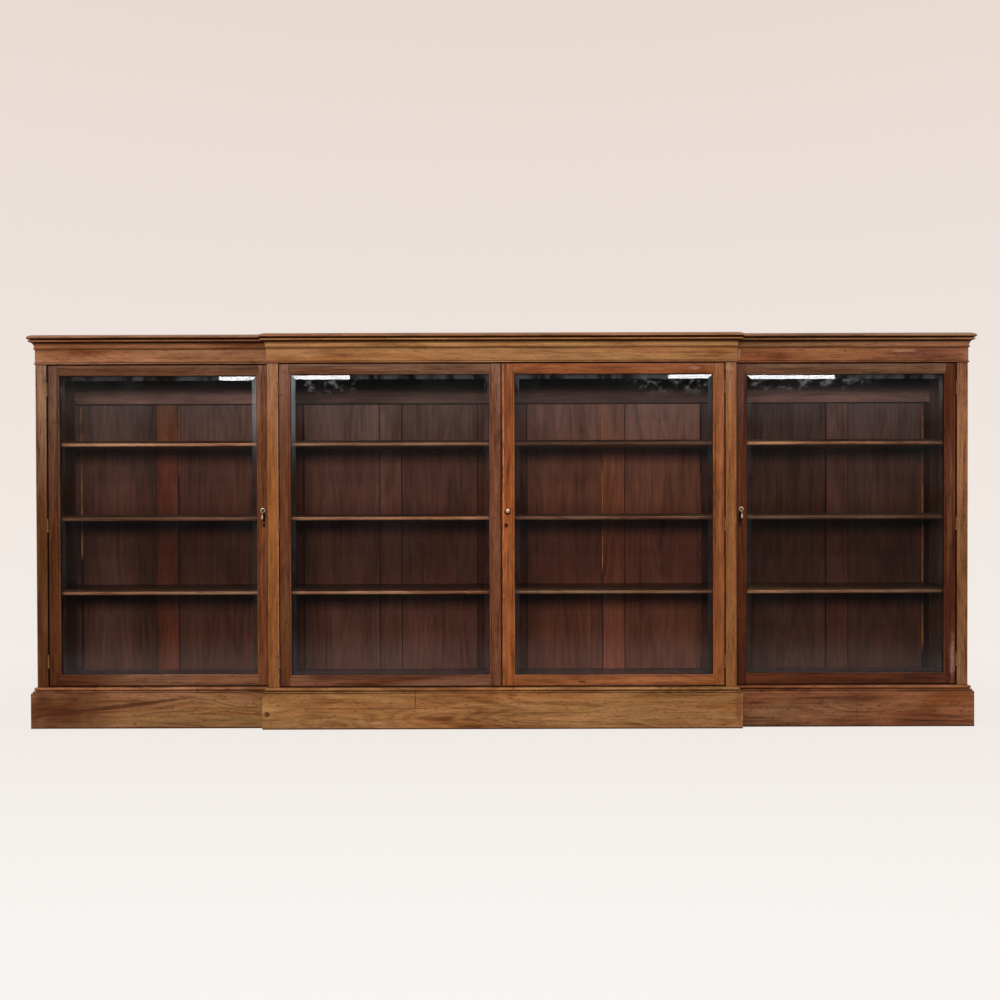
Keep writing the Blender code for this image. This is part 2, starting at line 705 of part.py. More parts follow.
def barrel_outline():
    """A barrel's outline from bottom to top, with a groove between each knuckle and the next."""
    knuckle = HINGE_HEIGHT / KNUCKLE_COUNT
    radius = HINGE_BARREL_RADIUS
    outline = [(0, 0), (radius - KNUCKLE_GROOVE, 0), (radius, KNUCKLE_GROOVE)]
    for n in range(1, KNUCKLE_COUNT):
        z = knuckle * n
        outline += [(radius, z - KNUCKLE_GROOVE), (radius - KNUCKLE_GROOVE, z), (radius, z + KNUCKLE_GROOVE)]
    outline += [
        (radius, HINGE_HEIGHT - KNUCKLE_GROOVE),
        (radius - KNUCKLE_GROOVE, HINGE_HEIGHT),
        (0, HINGE_HEIGHT),
    ]
    return outline


def hinges(bay, hand):
    """The case's leaf of each butt hinge, with the barrel round its pin."""
    axis_x, axis_y = hinge_axis(bay)
    fixed_edge = axis_x + hand * DOOR_HINGE_GAP / 2
    for number, middle in enumerate(hinge_heights(), 1):
        bottom = middle - HINGE_HEIGHT / 2
        name = f"hinge_{bay}_{number}"
        made = turned(name, barrel_outline(), (axis_x, axis_y, bottom), "up", BARREL_SIDES)
        near, far = fixed_edge - hand * FIT, fixed_edge - hand * (FIT + HINGE_LEAF)
        low_x, high_x = sorted((near, far))
        rear = axis_y + HINGE_BARREL_PROUD + HINGE_LEAF_DEPTH
        leaf = box(
            f"{name}_leaf",
            (low_x, axis_y, bottom + KNUCKLE_GROOVE),
            (high_x, rear, bottom + HINGE_HEIGHT - KNUCKLE_GROOVE),
            "brass",
        )
        boolean(made, leaf, "UNION")


def door_leaves(door, bay, hand, face):
    """The door's own hinge leaves, on its hinge edge."""
    axis_x, _ = hinge_axis(bay)
    edge = axis_x - hand * DOOR_HINGE_GAP / 2
    low_x, high_x = sorted((edge + hand * HINGE_LEAF, edge - hand * FIT))
    corners = []
    for middle in hinge_heights():
        half = HINGE_HEIGHT / 2 - KNUCKLE_GROOVE
        corners.append(((low_x, face + FIT, middle - half), (high_x, face + HINGE_LEAF_DEPTH, middle + half)))
    boolean(door, boxes(f"door_{bay}_leaves", corners), "UNION")


def lock(bay, door, edge, face, hand):
    """A cut-in lock: its case, its pocket behind the closing stile, and the keyhole through the front."""
    rear = face + DOOR_THICKNESS
    half = LOCK_TALL / 2
    low_x, high_x = sorted((edge, edge + hand * LOCK_WIDE))
    low_z, high_z = LOCK_HEIGHT - half, LOCK_HEIGHT + half
    made = box(f"lock_{bay}", (low_x, rear - LOCK_DEEP, low_z), (high_x, rear, high_z), "brass")
    key_x = edge + hand * KEYHOLE_FROM_EDGE
    boss_deep = LOCK_DEEP / 2 + LOCK_BOSS_HEIGHT
    boss_outline = [(0, 0), (LOCK_BOSS_RADIUS, 0), (LOCK_BOSS_RADIUS, boss_deep), (0, boss_deep)]
    boss_place = (key_x, rear + LOCK_BOSS_HEIGHT, LOCK_HEIGHT)
    boss = turned(f"lock_{bay}_boss", boss_outline, boss_place, "forward", TURNED_SIDES)
    boolean(made, boss, "UNION")
    stub_x = sorted((edge - hand * LOCK_BOLT_STUB, edge + hand * LOCK_WIDE / 2))
    stub_half = LOCK_BOLT_HEIGHT / 2
    stub = box(
        f"lock_{bay}_bolt_end",
        (stub_x[0], rear - LOCK_DEEP * 3 / 4, LOCK_HEIGHT - stub_half),
        (stub_x[1], rear - LOCK_DEEP / 4, LOCK_HEIGHT + stub_half),
        "brass",
    )
    boolean(made, stub, "UNION")
    pocket_x = sorted((edge - hand * OVERRUN, edge + hand * (LOCK_WIDE + FIT)))
    pocket = box(
        f"door_{bay}_pocket",
        (pocket_x[0], rear - LOCK_DEEP - FIT, low_z - FIT),
        (pocket_x[1], rear + OVERRUN, high_z + FIT),
    )
    boolean(door, pocket, "DIFFERENCE")
    slot_turn = math.degrees(math.asin(KEYHOLE_SLOT / 2 / KEYHOLE_RADIUS))
    outline = arc(key_x, LOCK_HEIGHT, KEYHOLE_RADIUS, slot_turn - 90, 270 - slot_turn, 12)
    outline += [
        (key_x - KEYHOLE_SLOT / 2, LOCK_HEIGHT - KEYHOLE_DROP),
        (key_x + KEYHOLE_SLOT / 2, LOCK_HEIGHT - KEYHOLE_DROP),
    ]
    keyhole = prism(
        f"door_{bay}_keyhole",
        outline,
        lambda x, z: (x, face - OVERRUN, z),
        (0, OVERRUN + DOOR_THICKNESS - LOCK_DEEP, 0),
    )
    boolean(door, keyhole, "DIFFERENCE")
    return made


def spigot_hole(door, bay, x, z, face):
    radius = SPIGOT_RADIUS + FIT
    depth = SPIGOT_LENGTH + FIT
    outline = [(0, -depth), (radius, -depth), (radius, OVERRUN), (0, OVERRUN)]
    hole = turned(f"door_{bay}_spigot_hole", outline, (x, face, z), "forward", TURNED_SIDES, "mahogany")
    boolean(door, hole, "DIFFERENCE")


def rosette(bay, x, face):
    """A turned rosette with its post, slotted for the drop and crossed by the drop's pin."""
    plate = ROSETTE_THICKNESS
    neck = POST_RADIUS * POST_NECK_SHARE
    tip = PIVOT_PROUD + POST_RADIUS
    outline = [
        (0, -SPIGOT_LENGTH),
        (SPIGOT_RADIUS, -SPIGOT_LENGTH),
        (SPIGOT_RADIUS, FIT),
        (ROSETTE_RADIUS, FIT),
    ]
    outline += [(ROSETTE_RADIUS * across, plate * up) for across, up in ROSETTE_RIM_SHARES]
    outline += [
        ((ROSETTE_RADIUS + POST_RADIUS) / 2, plate),
        (neck, plate + POST_RADIUS / 4),
        (neck, PIVOT_PROUD - POST_RADIUS),
        (POST_RADIUS, PIVOT_PROUD - neck),
        (POST_RADIUS, PIVOT_PROUD + POST_RADIUS / 2),
        (neck, tip - FIT),
        (0, tip),
    ]
    made = turned(f"rosette_{bay}", outline, (x, face, HANDLE_HEIGHT), "forward", TURNED_SIDES)
    slot_half = DROP_EYE_THICKNESS / 2 + DROP_EYE_CLEARANCE
    slot_back = PIVOT_PROUD - DROP_EYE_RADIUS - DROP_EYE_CLEARANCE
    slot = box(
        f"rosette_{bay}_slot",
        (x - slot_half, face - tip - OVERRUN, HANDLE_HEIGHT - POST_RADIUS - OVERRUN),
        (x + slot_half, face - slot_back, HANDLE_HEIGHT + POST_RADIUS + OVERRUN),
    )
    boolean(made, slot, "DIFFERENCE")
    pin_half = neck
    pin_outline = [(0, -pin_half), (DROP_PIN_RADIUS, -pin_half), (DROP_PIN_RADIUS, pin_half), (0, pin_half)]
    pin = turned(
        f"rosette_{bay}_pin", pin_outline, (x, face - PIVOT_PROUD, HANDLE_HEIGHT), "across", BARREL_SIDES
    )
    boolean(made, pin, "UNION")
    return made


def pear_drop(bay, x, face):
    """The drop hangs on the pin by its eye; its bulb swells to a pear with a small tip."""
    stem_end = DROP_LENGTH / 2
    bulb = DROP_BULB_RADIUS
    outline = [(bulb * across, bulb * up - DROP_LENGTH) for across, up in DROP_BULB_SHARES]
    outline += [
        (bulb / 2, -stem_end - bulb / 2),
        (DROP_STEM_RADIUS, -stem_end),
        (DROP_STEM_RADIUS * 3 / 2, -stem_end + bulb / 4),
        (DROP_STEM_RADIUS, -stem_end + bulb / 2),
        (DROP_STEM_RADIUS * 3 / 4, -DROP_EYE_RADIUS + FIT),
        (0, -DROP_EYE_RADIUS + FIT),
    ]
    pin = (0, 0, 0)
    made = turned(f"drop_{bay}", outline, pin, "up", TURNED_SIDES)
    half = DROP_EYE_THICKNESS / 2
    eye_outline = [(0, -half), (DROP_EYE_RADIUS, -half), (DROP_EYE_RADIUS, half), (0, half)]
    eye = turned(f"drop_{bay}_eye", eye_outline, pin, "across", TURNED_SIDES)
    boolean(made, eye, "UNION")
    radius = DROP_PIN_RADIUS + DROP_PIN_CLEARANCE
    end = half + OVERRUN
    hole_outline = [(0, -end), (radius, -end), (radius, end), (0, end)]
    hole = turned(f"drop_{bay}_hole", hole_outline, pin, "across", TURNED_SIDES)
    boolean(made, hole, "DIFFERENCE")
    for piece in (made, eye, hole):
        piece.location = (x, face - PIVOT_PROUD, HANDLE_HEIGHT)
    return made


def knob(x, face):
    ball = KNOB_RADIUS
    middle = KNOB_PROUD - ball * 3 / 4
    outline = [(0, -SPIGOT_LENGTH), (SPIGOT_RADIUS, -SPIGOT_LENGTH), (SPIGOT_RADIUS, FIT)]
    outline += [
        (ball, FIT),
        (ball, ball / 6),
        (ball * 3 / 4, ball / 3),
        (ball / 2, ball / 2),
        (ball / 2, middle - ball * 2 / 3),
    ]
    outline += arc(0, middle, ball, -40, 90, 8, ball * 3 / 4)
    outline[-1] = (0, KNOB_PROUD)
    return turned("knob_centre_right", outline, (x, face, KNOB_HEIGHT), "forward", TURNED_SIDES)


def door_furniture(bay, door, edge, face, hand):
    """The lock and the handle of a door that has them, on its closing stile."""
    if bay == "centre_right":
        meeting_bead(door, edge, face)
        edge -= MEETING_BEAD
        handle_x = edge + hand * KNOB_FROM_EDGE
        spigot_hole(door, bay, handle_x, KNOB_HEIGHT, face)
        return [lock(bay, door, edge, face, hand), knob(handle_x, face)]
    handle_x = edge + hand * HANDLE_FROM_EDGE
    spigot_hole(door, bay, handle_x, HANDLE_HEIGHT, face)
    return [lock(bay, door, edge, face, hand), rosette(bay, handle_x, face)]


def doors():
    for bay, (low_x, high_x, face, hand) in door_layout().items():
        door = door_frame(bay, low_x, high_x, face)
        carried = [door, glass_pane(bay, low_x, high_x, face)]
        hinges(bay, hand)
        door_leaves(door, bay, hand, face)
        edge = high_x if hand < 0 else low_x
        if bay != "centre_left":
            carried += door_furniture(bay, door, edge, face, hand)
        axis_x, axis_y = hinge_axis(bay)
        swing = pivot(f"{bay}_door_swing", (axis_x, axis_y, sum(hinge_heights()) / HINGE_COUNT))
        for piece in carried:
            hang(piece, swing)
        if bay.endswith("wing"):
            handle_x = edge + hand * HANDLE_FROM_EDGE
            drop = pear_drop(bay, handle_x, face)
            hang(drop, pivot(f"{bay}_drop_swing", (handle_x, face - PIVOT_PROUD, HANDLE_HEIGHT), swing))


def main():
    clear_scene()
    plinth()
    sides()
    partitions()
    break_stiles()
    carcass_boards()
    shelves()
    backs()
    frieze()
    cornice()
    top_board()
    doors()


main()
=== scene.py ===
import json
import math
from functools import partialmethod

import bmesh
import bpy
from mathutils import Matrix, Vector


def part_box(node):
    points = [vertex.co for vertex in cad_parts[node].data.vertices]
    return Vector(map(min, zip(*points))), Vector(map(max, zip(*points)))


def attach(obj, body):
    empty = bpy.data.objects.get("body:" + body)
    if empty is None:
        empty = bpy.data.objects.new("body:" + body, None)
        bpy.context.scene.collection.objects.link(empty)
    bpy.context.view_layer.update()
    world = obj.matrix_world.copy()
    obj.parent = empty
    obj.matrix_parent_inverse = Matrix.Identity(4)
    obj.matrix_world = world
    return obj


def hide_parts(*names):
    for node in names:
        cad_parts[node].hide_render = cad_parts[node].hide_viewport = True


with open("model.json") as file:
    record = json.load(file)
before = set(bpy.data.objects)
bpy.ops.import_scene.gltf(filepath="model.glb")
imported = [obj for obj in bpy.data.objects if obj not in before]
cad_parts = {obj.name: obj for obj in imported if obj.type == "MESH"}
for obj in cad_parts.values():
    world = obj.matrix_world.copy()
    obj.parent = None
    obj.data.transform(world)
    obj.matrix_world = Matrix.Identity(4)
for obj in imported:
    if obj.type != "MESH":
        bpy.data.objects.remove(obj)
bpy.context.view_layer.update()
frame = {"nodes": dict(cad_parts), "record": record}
nodes = frame["nodes"]
print("frame loaded:", len(nodes), "nodes")

# The camera stands a little right of the middle and looks almost level
cameraSettings = {
    "place": (0.0146, -4.474, 0.8131), "pitchDown": 0.01155, "roll": -0.0029, "focalPixels": 1169.5,
    "imagePixels": 1000, "vanishingPoint": (506.0, 520.9),
}

# One broad soft key low in front, and two slim strips overhead that only the bevelled glass mirrors
lightSettings = {
    "key": {
        "place": (-0.4, -6.0, 1.86), "aim": (0.0, 0.0, 0.75), "size": (3.0, 1.0), "power": 215,
        "mirrored": False,
    },
    "strip_left": {"place": (-1.68, -4.5, 3.07), "aim": (-1.2, 0.0, 1.31), "size": (1.0, 0.17), "power": 11},
    "strip_right": {"place": (1.9, -4.5, 3.07), "aim": (1.3, 0.0, 1.31), "size": (1.27, 0.17), "power": 14},
}
# What the room in front gives back, by the sine of the elevation: floor, dim wall, lighter band, overhead
roomSettings = {
    "lowest": -0.2,
    "steps": (
        (-0.2, 0.22), (-0.124, 0.18), (-0.107, 0.03), (-0.07, 0.018), (-0.045, 0.035), (-0.018, 0.03),
        (0.0, 0.015), (0.03, 0.05), (0.05, 0.045), (0.066, 0.018), (0.079, 0.15), (0.092, 0.14),
        (0.102, 0.03), (0.125, 0.02), (0.47, 0.07), (0.6, 0.9), (1.0, 1.7),
    ),
    "brightest": 1.7, "behind": 0.7, "sides": (-0.35, 0.25),
    "patchy": 1.1, "patchGrain": (9, 2, 5), "patchLeast": 0.2, "patchesEnd": (0.1, 0.3),
    "mottle": {
        "grain": (120, 2, 150), "edge": (0.5, 0.64), "level": 1.3, "height": (0.113, 0.02),
        "places": ((-0.165, 0.05), (0.155, 0.06), (0.245, 0.06)),
    },
    "warm": (1.0, 0.97, 0.95), "cool": (0.98, 0.99, 1.0), "cooling": (0.1, 0.5),
}


def addObject(name, data):
    made = bpy.data.objects.new(name, data)
    bpy.context.scene.collection.objects.link(made)
    return made


def setUpCamera(s):
    data = bpy.data.cameras.new("camera")
    size = s["imagePixels"]
    data.sensor_width = 36
    data.lens = s["focalPixels"] / size * data.sensor_width
    data.shift_x = (size / 2 - s["vanishingPoint"][0]) / size
    data.shift_y = (s["vanishingPoint"][1] - size / 2) / size
    data.clip_start, data.clip_end = 0.1, 60
    camera = addObject("camera", data)
    tilt = Matrix.Rotation(math.pi / 2 - s["pitchDown"], 4, "X")
    roll = Matrix.Rotation(s["roll"], 4, "Z")
    camera.matrix_world = Matrix.Translation(s["place"]) @ tilt @ roll
    bpy.context.scene.camera = camera


def addAreaLight(name, s):
    data = bpy.data.lights.new(name, "AREA")
    data.shape = "RECTANGLE"
    data.size, data.size_y = s["size"]
    data.energy = s["power"]
    light = addObject(name, data)
    light.location = s["place"]
    look = Vector(s["aim"]) - Vector(s["place"])
    light.rotation_euler = look.to_track_quat("-Z", "Y").to_euler()
    light.visible_camera = False
    light.visible_glossy = s.get("mirrored", True)


# Shader maths written as Python expressions on sockets
class Socket:
    def __init__(self, tree, out):
        self.tree = tree
        self.out = out

    def maths(self, operation, *others):
        return self.tree.add("Math", {"operation": operation}, [self, *others])

    __add__ = __radd__ = partialmethod(maths, "ADD")
    __sub__ = partialmethod(maths, "SUBTRACT")
    __mul__ = partialmethod(maths, "MULTIPLY")
    __truediv__ = partialmethod(maths, "DIVIDE")
    __pow__ = partialmethod(maths, "POWER")
    __abs__ = partialmethod(maths, "ABSOLUTE")
    over = partialmethod(maths, "GREATER_THAN")
    under = partialmethod(maths, "LESS_THAN")
    most = partialmethod(maths, "MAXIMUM")
    least = partialmethod(maths, "MINIMUM")

    def __rsub__(self, other):
        return self.tree.add("Math", {"operation": "SUBTRACT"}, [other, self])

    def clamped(self):
        return self.tree.add("Clamp", {}, [self])

    def smooth(self, low, high):  # rises from nought at low to one at high
        settings = {"interpolation_type": "SMOOTHSTEP"}
        inputs = {"Value": self, "From Min": low, "From Max": high}
        return self.tree.add("MapRange", settings, inputs)

    def near(self, centre, reach):  # one at the centre, nought past the reach
        return 1 - abs(self - centre).smooth(reach * 0.45, reach)


def strongest(masks):
    top = masks[0]
    for mask in masks[1:]:
        top = top.most(mask)
    return top


# A node tree, with one method that adds any node
class Shader:
    def __init__(self, name, world=False):
        self.owner = bpy.data.worlds.new(name) if world else bpy.data.materials.new(name)
        self.owner.use_nodes = True
        self.tree = self.owner.node_tree
        self.tree.nodes.clear()
        self.output = self.tree.nodes.new("ShaderNodeOutputWorld" if world else "ShaderNodeOutputMaterial")

    def add(self, kind, settings=None, inputs=None, output=0):
        node = self.tree.nodes.new("ShaderNode" + kind)
        for key, value in (settings or {}).items():
            if key == "stops":
                self.setStops(node.color_ramp, value)
            else:
                setattr(node, key, value)
        pairs = inputs.items() if isinstance(inputs, dict) else enumerate(inputs or [])
        for key, value in pairs:
            self.feed(node.inputs[key], value)
        return Socket(self, node.outputs[output])

    def setStops(self, ramp, stops):
        while len(ramp.elements) > 1:
            ramp.elements.remove(ramp.elements[-1])
        for number, (place, colour) in enumerate(stops):
            element = ramp.elements[0] if number == 0 else ramp.elements.new(place)
            element.position = place
            element.color = (*colour, 1)

    def feed(self, socket, value):
        if isinstance(value, Socket):
            self.tree.links.new(value.out, socket)
        elif isinstance(value, (tuple, list)) and len(value) == 3 and socket.type == "RGBA":
            socket.default_value = (*value, 1)
        else:
            socket.default_value = value

    def place(self, kind="Object"):
        return self.add("TexCoord", {}, [], kind)

    def split(self, vector):
        node = self.tree.nodes.new("ShaderNodeSeparateXYZ")
        self.feed(node.inputs[0], vector)
        return [Socket(self, node.outputs[n]) for n in range(3)]

    def shifted(self, vector, x, y, z):
        step = self.add("CombineXYZ", {}, [x, y, z])
        return self.add("VectorMath", {"operation": "ADD"}, [vector, step])

    def noise(self, vector, scale, shift=(0, 0, 0), detail=2.0, roughness=0.5, distortion=0.0):
        place = self.add("Mapping", {}, {"Vector": vector, "Scale": scale, "Location": shift})
        inputs = {"Vector": place, "Scale": 1.0, "Detail": detail, "Roughness": roughness}
        return self.add("TexNoise", {}, {**inputs, "Distortion": distortion}, "Fac")

    def mix(self, share, first, second, blend="MIX"):
        node = self.tree.nodes.new("ShaderNodeMix")
        node.data_type = "RGBA"
        node.blend_type = blend
        node.clamp_factor = True
        self.feed(node.inputs["Factor"], share)
        self.feed(node.inputs[6], first)
        self.feed(node.inputs[7], second)
        return Socket(self, node.outputs[2])

    def ramp(self, value, stops):
        return self.add("ValToRGB", {"stops": stops}, [value])

    def brighter(self, colour, factor):
        return self.add("VectorMath", {"operation": "SCALE"}, {"Vector": colour, "Scale": factor})

    def surface(self, colour, roughness, height, bump, inputs):
        relief = {"Height": height, "Distance": bump[0], "Strength": bump[1]}
        normal = self.add("Bump", {}, relief)
        common = {"Base Color": colour, "Roughness": roughness.clamped(), "Normal": normal}
        return self.finish(self.add("BsdfPrincipled", {}, {**common, **inputs}))

    def finish(self, result):
        self.tree.links.new(result.out, self.output.inputs["Surface"])
        return self.owner


def toLinear(colour):  # from the eye's scale of 0 to 255 to the shader's
    shares = [value / 255 for value in colour]
    return tuple(share / 12.92 if share <= 0.04045 else ((share + 0.055) / 1.055) ** 2.4 for share in shares)


def times(colour, factor):
    factors = factor if isinstance(factor, tuple) else (factor,) * 3
    return tuple(min(1.0, value * share) for value, share in zip(colour, factors))


# A dim room in front, brighter overhead, and plain soft light behind
def roomLight(s):
    world = Shader("soft studio", world=True)
    around = world.place("Generated")
    x, y, z = world.split(around)
    low, brightest = s["lowest"], s["brightest"]
    stops = [((at - low) / (1 - low), (level / brightest,) * 3) for at, level in s["steps"]]
    front = world.ramp(((z - low) / (1 - low)).clamped(), stops)
    patches = (world.noise(around, s["patchGrain"]) - 0.5) * s["patchy"]
    patches = patches * (1 - z.smooth(*s["patchesEnd"])) + 1
    front = front * patches.most(s["patchLeast"]) * brightest
    mottle = s["mottle"]
    speckles = world.noise(around, mottle["grain"], detail=3.0, roughness=0.65).smooth(*mottle["edge"])
    spread = strongest([x.near(*place) for place in mottle["places"]])
    front = front + speckles * spread * z.near(*mottle["height"]) * mottle["level"]
    facing = (y * -1.0).smooth(*s["sides"])
    light = front * facing + (1 - facing) * s["behind"]
    colour = world.mix(z.smooth(*s["cooling"]), s["warm"], s["cool"])
    return world.finish(world.add("Background", {}, {"Color": colour, "Strength": light}))


setUpCamera(cameraSettings)
bpy.context.scene.world = roomLight(roomSettings)
for lightName, lightLook in lightSettings.items():
    addAreaLight(lightName, lightLook)
bpy.context.scene.view_settings.view_transform = "Standard"
print("camera and lights placed")


# Bmesh helpers that every piece goes through
def addMesh(name, bm, materials):
    mesh = bpy.data.meshes.new(name)
    bm.to_mesh(mesh)
    bm.free()
    mesh.shade_smooth()
    for material in materials:
        mesh.materials.append(material)
    return addObject(name, mesh)


def makePiece(name, bm, materials, body, smoothAngle=35):
    piece = addMesh(name, bm, materials)
    piece.data.set_sharp_from_angle(angle=math.radians(smoothAngle))
    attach(piece, body)
    return piece


def mergedCopy(node):  # the node's own mesh with its loose triangles joined and its flat faces made whole
    bm = bmesh.new()
    bm.from_mesh(nodes[node].data)
    bmesh.ops.remove_doubles(bm, verts=bm.verts, dist=0.00002)
    bmesh.ops.dissolve_limit(
        bm, angle_limit=math.radians(0.5), verts=bm.verts, edges=bm.edges, use_dissolve_boundaries=False
    )
    return bm


easing = {"angle": 50, "case": 0.0007, "door": 0.0006, "inside": 0.0004, "lock": 0.0003}


def softenEdges(bm, width, leastLong):
    arrises = [
        edge for edge in bm.edges
        if len(edge.link_faces) == 2
        and edge.calc_length() > leastLong
        and edge.is_convex
        and edge.calc_face_angle(0) > math.radians(easing["angle"])
    ]
    bmesh.ops.bevel(
        bm, geom=arrises, offset=width, offset_type="OFFSET", segments=2, profile=0.5,
        affect="EDGES", material=-1, clamp_overlap=True,
    )


def addBlock(bm, low, high):
    for vert in bmesh.ops.create_cube(bm, size=1)["verts"]:
        vert.co = [b if c > 0 else a for c, a, b in zip(vert.co, low, high)]


def addTurned(bm, profile, centre, axis, steps=32):
    # Profile is (radius, distance along the axis) from one end to the other
    along = Vector(axis).normalized()
    across = along.orthogonal().normalized()
    middle = Vector(centre)
    verts = [bm.verts.new(middle + along * far + across * radius) for radius, far in profile]
    edges = [bm.edges.new(pair) for pair in zip(verts, verts[1:])]
    before = set(bm.faces)
    bmesh.ops.spin(
        bm, geom=verts + edges, cent=middle, axis=along, angle=math.tau, steps=steps, use_merge=True
    )
    made = [face for face in bm.faces if face not in before]
    points = list({vert for face in made for vert in face.verts})
    bmesh.ops.remove_doubles(bm, verts=points, dist=0.000004)
    made = [face for face in bm.faces if face not in before]
    bmesh.ops.recalc_face_normals(bm, faces=made)


# Floor and sweep are turned round the bookcase, so every view has the same pale ground
stageSettings = {
    "floorRadius": 4.6, "outerRadius": 9.0, "coveRadius": 1.4, "coveSteps": 12, "turnSteps": 96,
    "height": 8.5, "tones": ((0.28, (248, 244, 241)), (0.5, (244, 238, 232)), (0.95, (242, 234, 228))),
    "tonesPerMetre": 0.085, "high": (231, 217, 208), "highAt": 6.6, "shadowShare": 0.12,
    "shadowEnds": (1.9, 3.4), "shadowTone": (0.8, 0.8, 0.8),
}


def paleGround(s):
    tree = Shader("pale ground")
    x, y, z = tree.split(tree.place())
    stops = [(at, toLinear(tone)) for at, tone in s["tones"]]
    level = tree.ramp((y * s["tonesPerMetre"] + 0.5).clamped(), stops)
    colour = tree.mix((z / s["highAt"]).clamped(), level, toLinear(s["high"]))
    radius = (x * x + y * y) ** 0.5
    share = (1 - radius.smooth(*s["shadowEnds"])) * s["shadowShare"]
    dimmed = tree.mix(1.0, colour, s["shadowTone"], "MULTIPLY")
    lit = tree.add("BsdfDiffuse", {}, {"Color": dimmed})
    glow = tree.add("Emission", {}, {"Color": colour, "Strength": 1.0})
    return tree.finish(tree.add("MixShader", {}, [share, glow, lit]))


def layStage(s):
    material = paleGround(s)
    near, far, high = s["floorRadius"], s["outerRadius"], s["height"]
    cove, steps = s["coveRadius"], s["coveSteps"]
    bends = [math.pi / 2 * n / steps for n in range(1, steps + 1)]
    wall = [(far - cove + cove * math.sin(turn), cove - cove * math.cos(turn)) for turn in bends]
    profiles = {
        "floor": [(0.0, 0.0), (near, 0.0)],
        "sweep": [(near, 0.0), (far - cove, 0.0), *wall, (far, high)],
    }
    for name, profile in profiles.items():
        bm = bmesh.new()
        addTurned(bm, profile, (0, 0, 0), (0, 0, 1), s["turnSteps"])
        sheet = addMesh(name, bm, [material])
        for ray in ("diffuse", "glossy", "transmission", "shadow"):
            setattr(sheet, "visible_" + ray, False)


layStage(stageSettings)
print("stage laid")

# Mahogany as it has aged: the tone low down or in the middle, and a paler tone where light and dust have
# faded it, which up the height of a board is also painted light from above
finishes = {
    "brown": ((98, 56, 26), (146, 106, 78)),
    "golden": ((140, 87, 45), (150, 103, 72)),
    "mauve": ((104, 57, 31), (126, 85, 66)),
    "umber": ((91, 47, 20), (110, 77, 60)),
    "orange": ((136, 76, 38), (146, 88, 52)),
    "claret": ((84, 40, 18), (98, 60, 42)),
    "honey": ((149, 100, 55), (165, 116, 76)),
    "russet": ((146, 95, 61), (158, 110, 80)),
    "chestnut": ((122, 73, 45), (144, 87, 56)),
    "dun": ((108, 69, 44), (118, 82, 60)),
    "earth": ((95, 49, 24), (121, 80, 55)),
    "lip": ((160, 100, 66), (172, 126, 98)),
    "inside": ((104, 58, 43), (116, 76, 62)),
}
# Each layer of the figure: its length along the grain, its width, then detail, roughness and distortion
grainLayers = {
    "cloud": (0.4, 0.07, (3.0, 0.6, 0.7)), "ribbon": (0.36, 0.011, (4.0, 0.66)),
    "fibre": (0.06, 0.0028, (2.0,)), "rings": (0.55, 0.085, (1.0, 0.4, 0.4)),
    "fleck": (0.02, 0.004, (1.0,)), "pencil": (0.2, 0.0052, (2.0, 0.6)),
    "hue": (0.7, 0.045, (2.0,)),
}
woodSettings = {
    "seedShift": (3.7, 1.3, 2.1), "wingShift": (3.3, 0.7, 1.9),
    "mitre": 0.7185,  # on a mitre of the breakfront the two plan distances always add up to this
    "mitreBack": -0.14, "waver": (0.33, 0.12, 0.01), "ringTurns": 70,
    "fadePatchy": 0.7, "patchMiddle": 0.35, "patchStrength": 1.5,
    "weights": (1.25, 1.5, 0.8, 0.3, 1.05),
    "figure": ((0.05, (0.26, 0.2, 0.155)), (0.5, (0.645, 0.645, 0.645)), (0.95, (0.92, 0.97, 1.0))),
    "hues": ((0.32, (1.0, 0.84, 0.7)), (0.5, (1.0, 1.0, 1.0)), (0.68, (0.95, 1.0, 0.96))),
    "hueShare": 0.9,
    "gain": 1.58,  # the figure's ramp leaves the tone itself at 0.645
    "pencil": {"edge": (0.58, 0.7), "share": 0.6, "tint": (0.42, 0.32, 0.24)},
    "pores": {"edge": (0.61, 0.7), "share": 0.8, "tint": (0.26, 0.18, 0.12)}, "bandEdge": 0.0006,
    "bandPowers": (1.0, 1.1, 1.2), "insideShade": (0.24, 0.2, 0.19), "insideShadeFrom": -0.13,
    "wear": {"before": -0.128, "grain": (28, 28, 28), "edge": (0.3, 0.62), "tint": (1.5, 1.6, 1.75)},
    "soilAndShade": (0.12, 0.05, 0.03), "rough": (0.2, 0.15, 0.2), "relief": (0.35, 0.5, 0.5),
    "bump": (0.00018, 0.6),
    "polish": {"Specular IOR Level": 0.28, "Coat Weight": 0.08, "Coat Roughness": 0.22},
}
markEdges = {"soft": 0.15, "hard": 0.7, "outer": 1.2}


# A mark is an oval on the front: its middle, half its length and width, its colour and how strong, how ragged
# its rim is, its turn in degrees and the grain of its rim
def mark(at, half, colour, share=0.8, rag=0.5, turn=0, grit=90, soft=False):
    return {
        "at": at, "half": half, "colour": colour, "share": share, "rag": rag, "turn": turn, "grit": grit,
        "soft": soft,
    }


def stain(at, half, colour, share, grit, turn=0):  # a soft patch that lies under the figure
    return mark(at, half, colour, share, turn=turn, grit=grit, soft=True)


def grainScale(along, long, wide):  # along holds the axes that the grain may follow
    return tuple(1 / long if axis in along else 1 / wide for axis in "xyz")


